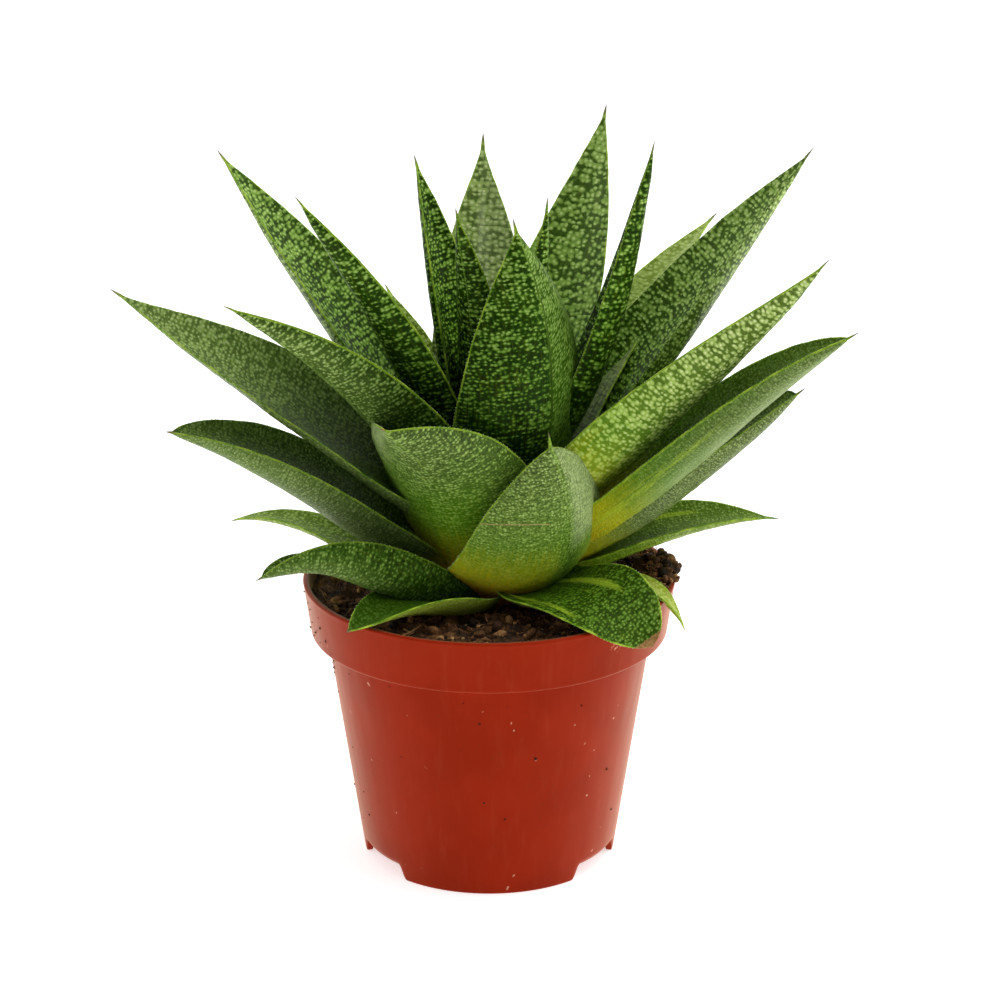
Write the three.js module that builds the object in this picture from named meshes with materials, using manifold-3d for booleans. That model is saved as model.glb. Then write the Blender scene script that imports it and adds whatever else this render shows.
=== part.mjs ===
// A gasteria growing in a round nursery pot.
//
// Millimetres, +Z up. The origin is on the ground under the middle of the pot.
// +X is the right-hand side, -Y is the front.
//
// The pot, the soil and the stem carry the plant. Every leaf is a solid of its
// own: a midrib curve in an upright plane, with a curved, keeled section that
// clasps the stem at its foot and tapers to a pointed tip.

import * as THREE from 'three';
import { mergeVertices } from 'three/addons/utils/BufferGeometryUtils.js';
import Module from 'manifold-3d';

const wasm = await Module();
wasm.setup();

// ---------------------------------------------------------------- dimensions

// pot
const POT_HEIGHT = 94;
const RIM_RADIUS = 60;            // outside of the lip: a 12 cm pot
const LIP_WIDTH = 1.9;            // flat top of the lip
const COLLAR_HEIGHT = 17.5;       // the wide band under the lip
const COLLAR_FOOT_RADIUS = 57.6;  // outside of the band at its lower edge
const BODY_TOP_RADIUS = 52.6;     // outside of the wall just under the band
const FOOT_RADIUS = 41;           // outside of the wall at the ground
const WALL = 1.5;
const FOOT_RING_WIDTH = 2;
const FLOOR_UNDERSIDE = 5.4;      // the floor stands clear of the ground
const FLOOR_THICKNESS = 1.6;
const POT_SEGMENTS = 40;
const FOOT_NOTCHES = [90, 210, 330];   // degrees
const NOTCH_HEIGHT = 4.8;
const NOTCH_WIDTH_LOW = 27;
const NOTCH_WIDTH_HIGH = 20;
const DRAIN_HOLES = 6;
const DRAIN_RADIUS = 4;
const DRAIN_CIRCLE = 27;

// soil
const GAP = 0.35;                 // clearance between pieces that touch
const SOIL_LEVEL = 89.6;
const SOIL_RINGS = [14, 27, 38, 48, 56.2];
const SOIL_SEGMENTS = 40;
const MOUND = { azimuth: 6, radius: 51, height: 6.5, reach: 11 };

// stem
const STEM_FOOT = 62;
const STEM_COLLAR = 88;           // the cone starts here
const STEM_TOP = 122;
const STEM_RADIUS = 11;
const STEM_TOP_RADIUS = 3;
const BUD_HEIGHT = 18;            // the rolled youngest leaves, above the cone
const STEM_SEGMENTS = 20;

// leaves
const LEAF_STATIONS = 9;          // sections along a leaf
const UPPER_FACE = [-1, 0, 1];    // points across the channelled upper face
const LOWER_FACE = [1, 0.5, 0, -0.5, -1];   // and back across the keeled lower face
const LEAF_END = 0.975;           // last full section before the point
const EDGE = 0.8;                 // thickness of the margin
const BASE_CLASP = 130;           // degrees of arc of the section at the foot
const ROOTED = 2;                 // the midrib starts this far inside the stem

// Each leaf: name, azimuth of its plane, height of its foot on the stem, rise
// of the midrib there, reach and height of the tip, rise of the midrib at the
// tip, sideways sway of the tip, full width across the arc, width of the foot
// as a part of it, thickness at the keel, arc of the section, roll at the foot,
// roll at the tip, and two exponents: how long the blade stays full, and how
// blunt its point is.
// Lengths are in millimetres and angles in degrees. Outer leaves come first,
// and each later leaf gives way to the ones before it.
const LEAVES = [
  ['leaf_01', 309, 89, 22, 71.7, 89.5, -50, 7.5, 35, 0.4, 5, 40, 0, 24, 4.0, 0.6],
  ['leaf_02', 245, 86, 14, 62, 93, -35, -20, 33, 0.8, 4, 60, 0, 4, 3.2, 0.8],
  ['leaf_03', 232, 85, 12, 76, 107, -34, -33, 30, 1.05, 6, 110, 12, 26, 4.0, 0.6],
  ['leaf_04', 165, 89, 2, 88, 104, -22, 0, 22, 0.5, 3, 50, 0, 0, 3.0, 1.0],
  ['leaf_05', 348, 90, 10, 66.5, 85, -62, -14, 18, 0.5, 4, 40, 0, 0, 3.0, 1.0],
  ['leaf_06', 12, 89, 20, 94, 110, -6, -11, 30, 0.5, 5, 70, 0, 8, 3.4, 1.0],
  ['leaf_07', 92, 89, 20, 58, 96, -38, 0, 32, 0.5, 5, 60, 0, 0, 4.0, 0.6],
  ['leaf_08', 129, 89, 14, 55, 93, -30, 0, 24, 0.5, 4, 60, 0, 0, 4.0, 0.6],
  ['leaf_09', 52, 89, 20, 70, 98, -30, 0, 26, 0.5, 5, 60, 0, 0, 3.6, 0.8],
  ['leaf_10', 307.5, 88, 34, 40, 155, 92, -7.5, 60, 0.72, 7, 75, 0, 0, 3.8, 0.8],
  ['leaf_11', 239, 89, 66, 64, 162.5, 28, 0, 66, 0.7, 6, 105, 0, 8, 4.0, 1.0],
  ['leaf_12', 188, 91, 36, 103, 149, 14, 4, 40, 0.55, 8, 100, 0, -4, 3.8, 0.7],
  ['leaf_13', 5, 91, 30, 100, 158, 42, -10, 36, 0.6, 7, 100, 0, 0, 3.8, 0.55],
  ['leaf_14', 358, 92, 34, 116, 181, 34, -12, 44, 0.55, 7, 105, -6, -4, 4.4, 0.8],
  ['leaf_15', 70, 92, 38, 56, 154, 84, 0, 40, 0.5, 7, 80, 0, 0, 4.2, 0.8],
  ['leaf_16', 40, 91, 30, 78, 130, 20, 0, 26, 0.5, 6, 90, 0, 0, 3.8, 0.9],
  ['leaf_17', 142, 91, 36, 80, 130, 20, 0, 30, 0.5, 6, 90, 0, 0, 3.8, 0.9],
  ['leaf_18', 195, 101, 68, 88, 196, 30, 15, 54, 0.5, 7, 90, 12, 16, 2.6, 1.0],
  ['leaf_19', 356, 95, 58, 106.5, 204, 50, -6, 60, 0.65, 8, 90, -14, -20, 2.6, 1.0],
  ['leaf_20', 175, 98, 55, 117.5, 192.3, 38, 17, 46, 0.55, 6, 60, -6, -18, 3.4, 1.2],
  ['leaf_21', 116, 98, 44, 54, 160, 70, 0, 36, 0.5, 7, 80, 0, 0, 3.8, 0.9],
  ['leaf_22', 13, 103, 50, 103, 232, 54, -8, 54, 0.5, 6, 90, 0, 0, 3.2, 1.0],
  ['leaf_23', 38, 96, 62, 95, 199, 34, 0, 32, 0.5, 5, 60, 0, 0, 3.4, 1.0],
  ['leaf_24', 309, 106, 62, 18, 218, 108, -5, 55, 0.5, 7, 75, 0, 0, 4.4, 1.1],
  ['leaf_25', 200, 110, 75, 65, 228, 54, 6, 32, 0.5, 7, 80, 0, 6, 3.4, 1.0],
  ['leaf_26', 162, 106, 62, 91, 228, 52, 0, 38, 0.5, 6, 70, 0, -8, 3.4, 1.0],
  ['leaf_27', 130, 97, 58, 53, 180, 45, 0, 24, 0.5, 5, 60, 0, 0, 3.6, 1.0],
  ['leaf_28', 56, 107, 68, 68, 236, 74, 0, 43, 0.5, 6, 60, 0, 0, 2.9, 1.0],
  ['leaf_29', 98, 113, 75, 42, 230, 78, -4, 37, 0.5, 6, 60, 0, 0, 3.6, 1.2],
  ['leaf_30', 2, 114, 52, 51, 240, 80, -8, 30, 0.5, 6, 90, 0, -8, 3.4, 1.0],
  ['leaf_31', 142, 110, 84, 30, 229, 74, 0, 25, 0.5, 5, 90, 0, 0, 3.8, 1.0],
  ['leaf_32', 230, 114, 90, 16, 220, 76, 0, 24, 0.5, 5, 80, 0, 0, 3.6, 1.0],
  ['leaf_33', 330, 116, 86, 21, 223, 88, 0, 20, 0.5, 4, 60, 0, 0, 3.6, 1.0],
];

// ------------------------------------------------------------------- helpers

const rad = (degrees) => degrees * Math.PI / 180;
const clamp = (x) => Math.min(1, Math.max(0, x));
const smooth = (x) => { const c = clamp(x); return c * c * (3 - 2 * c); };
const mix = (a, b, k) => a + (b - a) * k;

function toSolid(geometry) {
  const g = geometry.index && !geometry.attributes.uv ? geometry : geometry.clone();
  g.deleteAttribute('normal');
  g.deleteAttribute('uv');
  const merged = mergeVertices(g, 1e-4);
  return new wasm.Manifold(new wasm.Mesh({
    numProp: 3,
    vertProperties: new Float32Array(merged.attributes.position.array),
    triVerts: new Uint32Array(merged.index.array),
  }));
}

function toGeometry(solid) {
  const mesh = solid.getMesh();
  const g = new THREE.BufferGeometry();
  g.setAttribute('position', new THREE.BufferAttribute(new Float32Array(mesh.vertProperties), 3));
  g.setIndex(new THREE.BufferAttribute(new Uint32Array(mesh.triVerts), 1));
  g.computeVertexNormals();
  return g;
}

function largestPiece(solid) {
  const pieces = solid.decompose();
  return pieces.reduce((a, b) => (b.volume() > a.volume() ? b : a));
}

// A solid of revolution about +Z from [radius, height] pairs, the underside
// first, that start and end on the axis or close on themselves.
function revolve(profile, segments) {
  const points = profile.map(([r, z]) => new THREE.Vector2(r, z));
  const lathe = new THREE.LatheGeometry(points, segments);
  lathe.rotateX(Math.PI / 2);
  return toSolid(lathe);
}

// ----------------------------------------------------------------------- pot

function makePot() {
  const collarFoot = POT_HEIGHT - COLLAR_HEIGHT;
  const floorTop = FLOOR_UNDERSIDE + FLOOR_THICKNESS;
  let pot = revolve([
    [0, FLOOR_UNDERSIDE],
    [FOOT_RADIUS - FOOT_RING_WIDTH, FLOOR_UNDERSIDE],
    [FOOT_RADIUS - FOOT_RING_WIDTH, 0],
    [FOOT_RADIUS, 0],
    [BODY_TOP_RADIUS, collarFoot],
    [COLLAR_FOOT_RADIUS - 0.4, collarFoot],
    [COLLAR_FOOT_RADIUS, collarFoot + 0.5],
    [RIM_RADIUS, POT_HEIGHT - 0.8],
    [RIM_RADIUS - 0.5, POT_HEIGHT],
    [RIM_RADIUS - LIP_WIDTH, POT_HEIGHT],
    [COLLAR_FOOT_RADIUS - WALL, collarFoot + WALL + 0.3],
    [BODY_TOP_RADIUS - WALL, collarFoot + WALL],
    [FOOT_RADIUS - WALL + 0.9, floorTop],
    [0, floorTop],
  ], POT_SEGMENTS);

  // feet: three notches through the foot ring
  for (const azimuth of FOOT_NOTCHES) {
    const outline = new THREE.Shape([
      new THREE.Vector2(-NOTCH_WIDTH_LOW / 2, -1),
      new THREE.Vector2(NOTCH_WIDTH_LOW / 2, -1),
      new THREE.Vector2(NOTCH_WIDTH_HIGH / 2, NOTCH_HEIGHT),
      new THREE.Vector2(-NOTCH_WIDTH_HIGH / 2, NOTCH_HEIGHT),
    ]);
    const cutter = new THREE.ExtrudeGeometry(outline, { depth: 14, bevelEnabled: false });
    cutter.rotateX(Math.PI / 2);          // outline upright, depth along -Y
    cutter.translate(0, -34, 0);
    cutter.rotateZ(rad(azimuth + 90));
    pot = pot.subtract(toSolid(cutter));
  }

  // drain holes through the floor
  for (let i = 0; i < DRAIN_HOLES; i++) {
    const a = rad(30 + i * 360 / DRAIN_HOLES);
    const drill = new THREE.CylinderGeometry(DRAIN_RADIUS, DRAIN_RADIUS, 8, 16);
    drill.rotateX(Math.PI / 2);
    drill.translate(DRAIN_CIRCLE * Math.cos(a), DRAIN_CIRCLE * Math.sin(a), FLOOR_UNDERSIDE);
    pot = pot.subtract(toSolid(drill));
  }
  return pot;
}

// ---------------------------------------------------------------------- soil

function soilHeight(radius, azimuth) {
  const ripple = 0.7 * Math.sin(3 * azimuth + 0.8) + 0.45 * Math.sin(7 * azimuth + radius / 7);
  const dx = radius * Math.cos(azimuth) - MOUND.radius * Math.cos(rad(MOUND.azimuth));
  const dy = radius * Math.sin(azimuth) - MOUND.radius * Math.sin(rad(MOUND.azimuth));
  const mound = MOUND.height * Math.exp(-(dx * dx + dy * dy) / (MOUND.reach * MOUND.reach));
  return SOIL_LEVEL + ripple * clamp(radius / 20) + mound;
}

function makeSoil() {
  const floorTop = FLOOR_UNDERSIDE + FLOOR_THICKNESS;
  const ledge = POT_HEIGHT - COLLAR_HEIGHT + WALL;
  const side = [
    [FOOT_RADIUS - WALL + 0.9 - GAP, floorTop + GAP],
    [BODY_TOP_RADIUS - WALL - GAP, ledge + GAP],
    [COLLAR_FOOT_RADIUS - WALL - GAP - 0.1, ledge + 0.3 + GAP],
  ];
  const position = [0, 0, side[0][1]];
  const index = [];
  const n = SOIL_SEGMENTS;
  const rings = [];
  const addRing = (radius, height) => {
    const first = position.length / 3;
    for (let j = 0; j < n; j++) {
      const a = Math.PI / 2 - j * 2 * Math.PI / n;
      position.push(radius * Math.cos(a), radius * Math.sin(a), height(a));
    }
    rings.push(first);
  };
  for (const [r, z] of side) addRing(r, () => z);
  for (const r of [...SOIL_RINGS].reverse()) addRing(r, (a) => soilHeight(r, a));
  const apex = position.length / 3;
  position.push(0, 0, soilHeight(0, 0));
  for (let j = 0; j < n; j++) {
    const k = (j + 1) % n;
    index.push(0, rings[0] + j, rings[0] + k);
    for (let i = 0; i + 1 < rings.length; i++) {
      const a = rings[i] + j, b = rings[i] + k, c = rings[i + 1] + k, d = rings[i + 1] + j;
      index.push(a, d, b, b, d, c);
    }
    const last = rings[rings.length - 1];
    index.push(last + j, apex, last + k);
  }
  return solidFrom(position, index);
}

function solidFrom(position, index) {
  const build = (triangles) => new wasm.Manifold(new wasm.Mesh({
    numProp: 3,
    vertProperties: new Float32Array(position),
    triVerts: new Uint32Array(triangles),
  }));
  const solid = build(index);
  if (solid.volume() > 0) return solid;
  const turned = [];
  for (let i = 0; i < index.length; i += 3) turned.push(index[i], index[i + 2], index[i + 1]);
  return build(turned);
}

// ---------------------------------------------------------------------- stem

function stemRadius(z) {
  const t = clamp((z - STEM_COLLAR) / (STEM_TOP - STEM_COLLAR));
  return mix(STEM_RADIUS, STEM_TOP_RADIUS, Math.pow(t, 1.2));
}

function makeStem(extra) {
  const profile = [[0, STEM_FOOT - extra], [STEM_RADIUS + extra, STEM_FOOT - extra]];
  for (let i = 0; i <= 6; i++) {
    const z = mix(STEM_COLLAR, STEM_TOP, i / 6);
    profile.push([stemRadius(z) + extra, z]);
  }
  profile.push([0.62 * STEM_TOP_RADIUS + extra, STEM_TOP + 0.6 * BUD_HEIGHT]);
  profile.push([0, STEM_TOP + BUD_HEIGHT + 2 * extra]);
  return revolve(profile, STEM_SEGMENTS);
}

// -------------------------------------------------------------------- leaves

function readLeaf(row) {
  const [name, azimuth, baseZ, rise, reach, tipZ, tipRise, sway, width, foot, thick,
    curl, roll, twist, full, blunt] = row;
  return { name, azimuth: rad(azimuth), baseZ, rise: rad(rise), reach, tipZ,
    tipRise: rad(tipRise), sway, width, foot, thick, curl: rad(curl), roll: rad(roll),
    twist: rad(twist), full, blunt };
}

// The midrib: a cubic curve in the leaf's upright plane, swayed sideways.
function midribPoint(leaf, t) {
  const r0 = stemRadius(leaf.baseZ) - ROOTED;
  const chord = Math.hypot(leaf.reach - r0, leaf.tipZ - leaf.baseZ);
  const pull = 0.38 * chord;
  const r = [r0, r0 + pull * Math.cos(leaf.rise), leaf.reach - pull * Math.cos(leaf.tipRise), leaf.reach];
  const z = [leaf.baseZ, leaf.baseZ + pull * Math.sin(leaf.rise), leaf.tipZ - pull * Math.sin(leaf.tipRise), leaf.tipZ];
  const s = 1 - t;
  const cubic = (p) => s * s * s * p[0] + 3 * s * s * t * p[1] + 3 * s * t * t * p[2] + t * t * t * p[3];
  const out = new THREE.Vector3(Math.cos(leaf.azimuth), Math.sin(leaf.azimuth), 0);
  const across = new THREE.Vector3(-Math.sin(leaf.azimuth), Math.cos(leaf.azimuth), 0);
  return out.multiplyScalar(cubic(r)).addScaledVector(across, leaf.sway * t * t)
    .add(new THREE.Vector3(0, 0, cubic(z)));
}

// The section's own directions: along the blade, across it, and out of its
// upper face.
function leafFrame(leaf, t) {
  const step = 1e-3;
  const along = midribPoint(leaf, t + step).sub(midribPoint(leaf, t - step)).normalize();
  const across = new THREE.Vector3(-Math.sin(leaf.azimuth), Math.cos(leaf.azimuth), 0);
  across.addScaledVector(along, -along.dot(across)).normalize();
  const up = new THREE.Vector3().crossVectors(along, across);
  const angle = mix(leaf.roll, leaf.twist, smooth(t));
  across.applyAxisAngle(along, angle);
  up.applyAxisAngle(along, angle);
  return { point: midribPoint(leaf, t), across, up };
}

const halfWidth = (leaf, t) => 0.5 * leaf.width * mix(leaf.foot, 1, smooth(t / 0.28))
  * Math.pow(clamp(1 - Math.pow(t, leaf.full)), leaf.blunt);
const keelDepth = (leaf, t) => leaf.thick * mix(0.45, 1, smooth(t / 0.4))
  * Math.pow(clamp(1 - Math.pow(t, 2.6)), 0.8);
const sectionArc = (leaf, t) => mix(rad(BASE_CLASP), leaf.curl, smooth(t / 0.35));

// One leaf as a closed solid; extra grows it all round.
function makeLeaf(leaf, extra) {
  const position = [];
  const index = [];
  const n = UPPER_FACE.length + LOWER_FACE.length;
  for (let i = 0; i < LEAF_STATIONS; i++) {
    const t = LEAF_END * i / (LEAF_STATIONS - 1);
    const { point, across, up } = leafFrame(leaf, t);
    const half = halfWidth(leaf, t) + extra;
    const arc = sectionArc(leaf, t);
    const bend = half / (arc / 2);
    const depth = keelDepth(leaf, t);
    const margin = EDGE * Math.max(0.75, 1 - Math.pow(t, 6)) + 2 * extra;
    const place = (u, side) => {
      const a = u * arc / 2;
      const body = depth * (1 - Math.pow(Math.abs(u), 2.2));
      const lift = side > 0 ? 0.2 * body + margin / 2 : -(0.8 * body + margin / 2);
      const x = bend * Math.sin(a) - Math.sin(a) * lift;
      const y = bend * (1 - Math.cos(a)) + Math.cos(a) * lift;
      const p = point.clone().addScaledVector(across, x).addScaledVector(up, y);
      position.push(p.x, p.y, p.z);
    };
    for (const u of UPPER_FACE) place(u, 1);
    for (const u of LOWER_FACE) place(u, -1);
  }
  const foot = leafFrame(leaf, 0).point;
  const tip = midribPoint(leaf, 1);
  const footIndex = position.length / 3;
  position.push(foot.x, foot.y, foot.z, tip.x, tip.y, tip.z);
  for (let j = 0; j < n; j++) {
    const k = (j + 1) % n;
    for (let i = 0; i + 1 < LEAF_STATIONS; i++) {
      const a = i * n + j, b = i * n + k, c = (i + 1) * n + k, d = (i + 1) * n + j;
      index.push(a, b, c, a, c, d);
    }
    index.push(footIndex, k, j);
    index.push(footIndex + 1, (LEAF_STATIONS - 1) * n + j, (LEAF_STATIONS - 1) * n + k);
  }
  return solidFrom(position, index);
}

// ------------------------------------------------------------------ assembly

const potPlastic = new THREE.MeshStandardMaterial({ color: 0x9b2a18, roughness: 0.35, metalness: 0 });
const peat = new THREE.MeshStandardMaterial({ color: 0x2c1d15, roughness: 0.95, metalness: 0 });
const stemSkin = new THREE.MeshStandardMaterial({ color: 0x8a8f4a, roughness: 0.7, metalness: 0 });
const leafSkin = new THREE.MeshStandardMaterial({ color: 0x2f5a1f, roughness: 0.4, metalness: 0, side: THREE.DoubleSide });

const group = new THREE.Group();
function add(name, solid, material) {
  const mesh = new THREE.Mesh(toGeometry(solid), material);
  mesh.name = name;
  group.add(mesh);
}

const pot = makePot();
const stem = makeStem(0);
const stemRoom = makeStem(GAP);

// the band of the pot with a little room round it
const rimRoom = revolve([
  [COLLAR_FOOT_RADIUS - WALL - 1, POT_HEIGHT - COLLAR_HEIGHT],
  [COLLAR_FOOT_RADIUS + GAP, POT_HEIGHT - COLLAR_HEIGHT],
  [RIM_RADIUS + GAP, POT_HEIGHT + GAP],
  [RIM_RADIUS - LIP_WIDTH - GAP, POT_HEIGHT + GAP],
  [COLLAR_FOOT_RADIUS - WALL - 1, POT_HEIGHT - COLLAR_HEIGHT],
], POT_SEGMENTS);

let taken = stemRoom.add(rimRoom);
let leafRoom = null;
const finished = [];
for (const row of LEAVES) {
  const leaf = readLeaf(row);
  const whole = makeLeaf(leaf, 0);
  const solid = largestPiece(whole.subtract(taken));
  finished.push([leaf.name, solid]);
  const room = makeLeaf(leaf, GAP);
  taken = taken.add(room);
  leafRoom = leafRoom ? leafRoom.add(room) : room;
}

add('pot', pot, potPlastic);
add('soil', largestPiece(makeSoil().subtract(stemRoom).subtract(leafRoom)), peat);
add('stem', stem, stemSkin);
for (const [name, solid] of finished) add(name, solid, leafSkin);

export default group;
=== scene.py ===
"""A gasteria in its nursery pot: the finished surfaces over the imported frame.

Millimetres in the shape code, metres in the meshes. +X right, -Y front, +Z up.
"""
from math import cos, pi, radians, sin

import bmesh
import bpy
import numpy as np
from mathutils import Matrix, Vector


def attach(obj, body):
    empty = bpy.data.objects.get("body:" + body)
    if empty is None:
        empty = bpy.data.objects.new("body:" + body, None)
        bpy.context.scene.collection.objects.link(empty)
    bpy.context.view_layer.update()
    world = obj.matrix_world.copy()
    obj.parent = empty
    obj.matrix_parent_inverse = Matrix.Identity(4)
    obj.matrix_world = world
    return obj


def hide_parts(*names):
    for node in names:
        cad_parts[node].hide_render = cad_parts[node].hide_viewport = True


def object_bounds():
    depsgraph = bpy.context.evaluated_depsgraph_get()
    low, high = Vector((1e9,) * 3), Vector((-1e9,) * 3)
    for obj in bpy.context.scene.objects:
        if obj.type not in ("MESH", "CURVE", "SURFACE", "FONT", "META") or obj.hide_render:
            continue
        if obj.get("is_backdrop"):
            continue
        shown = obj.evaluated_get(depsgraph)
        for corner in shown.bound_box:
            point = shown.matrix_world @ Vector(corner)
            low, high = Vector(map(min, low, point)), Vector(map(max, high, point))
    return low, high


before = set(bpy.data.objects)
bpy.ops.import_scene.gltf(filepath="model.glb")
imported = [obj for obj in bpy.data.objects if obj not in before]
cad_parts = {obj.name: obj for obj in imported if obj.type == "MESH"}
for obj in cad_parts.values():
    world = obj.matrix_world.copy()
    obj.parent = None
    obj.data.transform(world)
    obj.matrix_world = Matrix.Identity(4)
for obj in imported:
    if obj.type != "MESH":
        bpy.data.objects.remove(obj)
cad_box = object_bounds()
MM = 0.001

# ---- camera

AIM = Vector((0.0035, 0.0, 0.1197))
ELEVATION, DISTANCE, LENS = radians(19.8), 1.2, 134.8

camera = bpy.data.objects.new("camera", bpy.data.cameras.new("camera"))
camera.data.lens, camera.data.sensor_width = LENS, 36
camera.data.clip_start, camera.data.clip_end = 0.05, 30
camera.location = AIM + DISTANCE * Vector((0, -cos(ELEVATION), sin(ELEVATION)))
camera.rotation_euler = (AIM - camera.location).to_track_quat("-Z", "Y").to_euler()
bpy.context.scene.collection.objects.link(camera)
bpy.context.scene.camera = camera

# ---- studio and light

scene = bpy.context.scene
scene.view_settings.view_transform = "Standard"
scene.view_settings.look = "None"

KEY, RIGHT, LEFT = 8.0, 4.5, 2.0                # the softboxes, in watts
NEAR_SKY, FAR_SKY, GLOW = 0.22, 1.0, 0.62       # light from in front, from behind, and from the floor itself
SKY_TURNS = (-0.6, 0.4)                         # where it changes, from -1 in front to 1 behind


def softbox(name, place, width, height, watts, aim=(0, 0, 0.12)):
    data = bpy.data.lights.new(name, "AREA")
    data.shape, data.size, data.size_y, data.energy = "RECTANGLE", width, height, watts
    lamp = bpy.data.objects.new(name, data)
    lamp.location = place
    lamp.rotation_euler = (Vector(aim) - lamp.location).to_track_quat("-Z", "Y").to_euler()
    scene.collection.objects.link(lamp)


softbox("top_light", (0.40, -0.05, 1.25), 1.2, 1.2, KEY)
softbox("right_light", (1.2, 0.25, 0.5), 0.8, 1.0, RIGHT)
softbox("left_light", (-1.2, 0.25, 0.5), 0.8, 1.0, LEFT)


def studio():
    """White all round, dim behind the camera; the camera itself sees plain white."""
    world = bpy.data.worlds.new("studio")
    scene.world = world
    world.use_nodes = True
    tree = world.node_tree
    node, link = tree.nodes.new, tree.links.new
    lit, seen = tree.nodes["Background"], node("ShaderNodeBackground")
    lit.inputs["Color"].default_value = seen.inputs["Color"].default_value = (1, 1, 1, 1)
    split, ramp = node("ShaderNodeSeparateXYZ"), node("ShaderNodeMapRange")
    link(node("ShaderNodeTexCoord").outputs["Generated"], split.inputs[0])
    link(split.outputs["Y"], ramp.inputs["Value"])
    for key, value in zip(("From Min", "From Max", "To Min", "To Max"), (*SKY_TURNS, NEAR_SKY, FAR_SKY)):
        ramp.inputs[key].default_value = value
    link(ramp.outputs["Result"], lit.inputs["Strength"])
    pick = node("ShaderNodeMixShader")
    link(node("ShaderNodeLightPath").outputs["Is Camera Ray"], pick.inputs[0])
    link(lit.outputs[0], pick.inputs[1])
    link(seen.outputs[0], pick.inputs[2])
    link(pick.outputs[0], tree.nodes["World Output"].inputs["Surface"])


studio()

# ---- node building

def rgb(r, g, b):
    """A colour given as 0-255 display values, in linear light."""
    def lin(c):
        c /= 255
        return c / 12.92 if c <= 0.04045 else ((c + 0.055) / 1.055) ** 2.4
    return (lin(r), lin(g), lin(b), 1.0)


class Wire:
    """A node's output. Arithmetic on it adds maths nodes."""

    def __init__(self, graph, socket):
        self.graph, self.socket = graph, socket

    def __add__(self, other):
        return self.graph.math("ADD", self, other)

    def __sub__(self, other):
        return self.graph.math("SUBTRACT", self, other)

    def __mul__(self, other):
        return self.graph.math("MULTIPLY", self, other)

    __radd__, __rmul__ = __add__, __mul__


class Graph:
    """A short way to write a material's node tree."""

    def __init__(self, name):
        self.mat = bpy.data.materials.new(name)
        self.mat.use_nodes = True
        self.tree = self.mat.node_tree
        self.tree.nodes.clear()

    def node(self, kind, **settings):
        n = self.tree.nodes.new(kind)
        for key, value in settings.items():
            setattr(n, key, value)
        return n

    def wire(self, node, values, output=0):
        """Fill the node's sockets, given by name or number, and hand on one of its outputs."""
        for key, value in values.items():
            if isinstance(value, Wire):
                self.tree.links.new(value.socket, node.inputs[key])
            elif value is not None:
                node.inputs[key].default_value = value
        return Wire(self, node.outputs[output])

    def math(self, operation, a, b=None, clamp=False):
        n = self.node("ShaderNodeMath", operation=operation, use_clamp=clamp)
        return self.wire(n, {0: a, 1: b})

    def vector_math(self, operation, *values, output=0):
        n = self.node("ShaderNodeVectorMath", operation=operation)
        return self.wire(n, dict(enumerate(values)), output)

    def step(self, value, low, high, to_low=0.0, to_high=1.0):
        """A soft step from to_low to to_high."""
        n = self.node("ShaderNodeMapRange", interpolation_type="SMOOTHSTEP")
        return self.wire(n, {"Value": value, "From Min": low, "From Max": high,
                             "To Min": to_low, "To Max": to_high}, "Result")

    def mix(self, factor, a, b):
        """From colour a to colour b."""
        return self.wire(self.node("ShaderNodeMix", data_type="RGBA"), {"Factor": factor, 6: a, 7: b}, 2)

    def blend(self, factor, a, b):
        """From number a to number b."""
        return self.wire(self.node("ShaderNodeMix", data_type="FLOAT"), {"Factor": factor, 2: a, 3: b})

    def attribute(self, name, output="Vector"):
        return self.wire(self.node("ShaderNodeAttribute", attribute_name=name), {}, output)

    def parts(self, vector):
        n = self.node("ShaderNodeSeparateXYZ")
        self.wire(n, {0: vector})
        return [Wire(self, socket) for socket in n.outputs]

    def vector(self, x, y, z=0.0):
        return self.wire(self.node("ShaderNodeCombineXYZ"), {0: x, 1: y, 2: z})

    def noise(self, vector, detail=2.0, rough=0.5, scale=1.0, output="Fac"):
        n = self.node("ShaderNodeTexNoise")
        return self.wire(n, {"Vector": vector, "Scale": scale, "Detail": detail, "Roughness": rough}, output)

    def cells(self, vector, dims="2D", random=1.0, scale=1.0, output="Distance"):
        n = self.node("ShaderNodeTexVoronoi", voronoi_dimensions=dims)
        return self.wire(n, {"Vector": vector, "Scale": scale, "Randomness": random}, output)

    def warp(self, vector, amount, scale):
        """The vector, pushed about by soft noise."""
        away = self.vector_math("SUBTRACT", self.noise(vector, 1.0, scale=scale, output="Color"), (0.5,) * 3)
        return self.vector_math("MULTIPLY_ADD", away, (amount,) * 3, vector)

    def place(self, scale=1.0):
        """Where the point is on the object, in millimetres times scale."""
        where = self.wire(self.node("ShaderNodeTexCoord"), {}, "Object")
        n = self.node("ShaderNodeVectorMath", operation="SCALE")
        return self.wire(n, {0: where, "Scale": 1000.0 * scale})

    def bump(self, height, depth_mm, under=None):
        values = {"Distance": depth_mm * MM, "Strength": 1.0, "Height": height, "Normal": under}
        return self.wire(self.node("ShaderNodeBump"), values)

    def finish(self, colour, roughness, normal=None, **sockets):
        """The surface; sockets are the shader's own, with _ for a space."""
        values = {"Base Color": colour, "Roughness": roughness, "Normal": normal}
        values.update((key.replace("_", " "), value) for key, value in sockets.items())
        skin = self.wire(self.node("ShaderNodeBsdfPrincipled"), values)
        self.tree.links.new(skin.socket, self.node("ShaderNodeOutputMaterial").inputs["Surface"])
        return self.mat


# ---- mesh building

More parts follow.
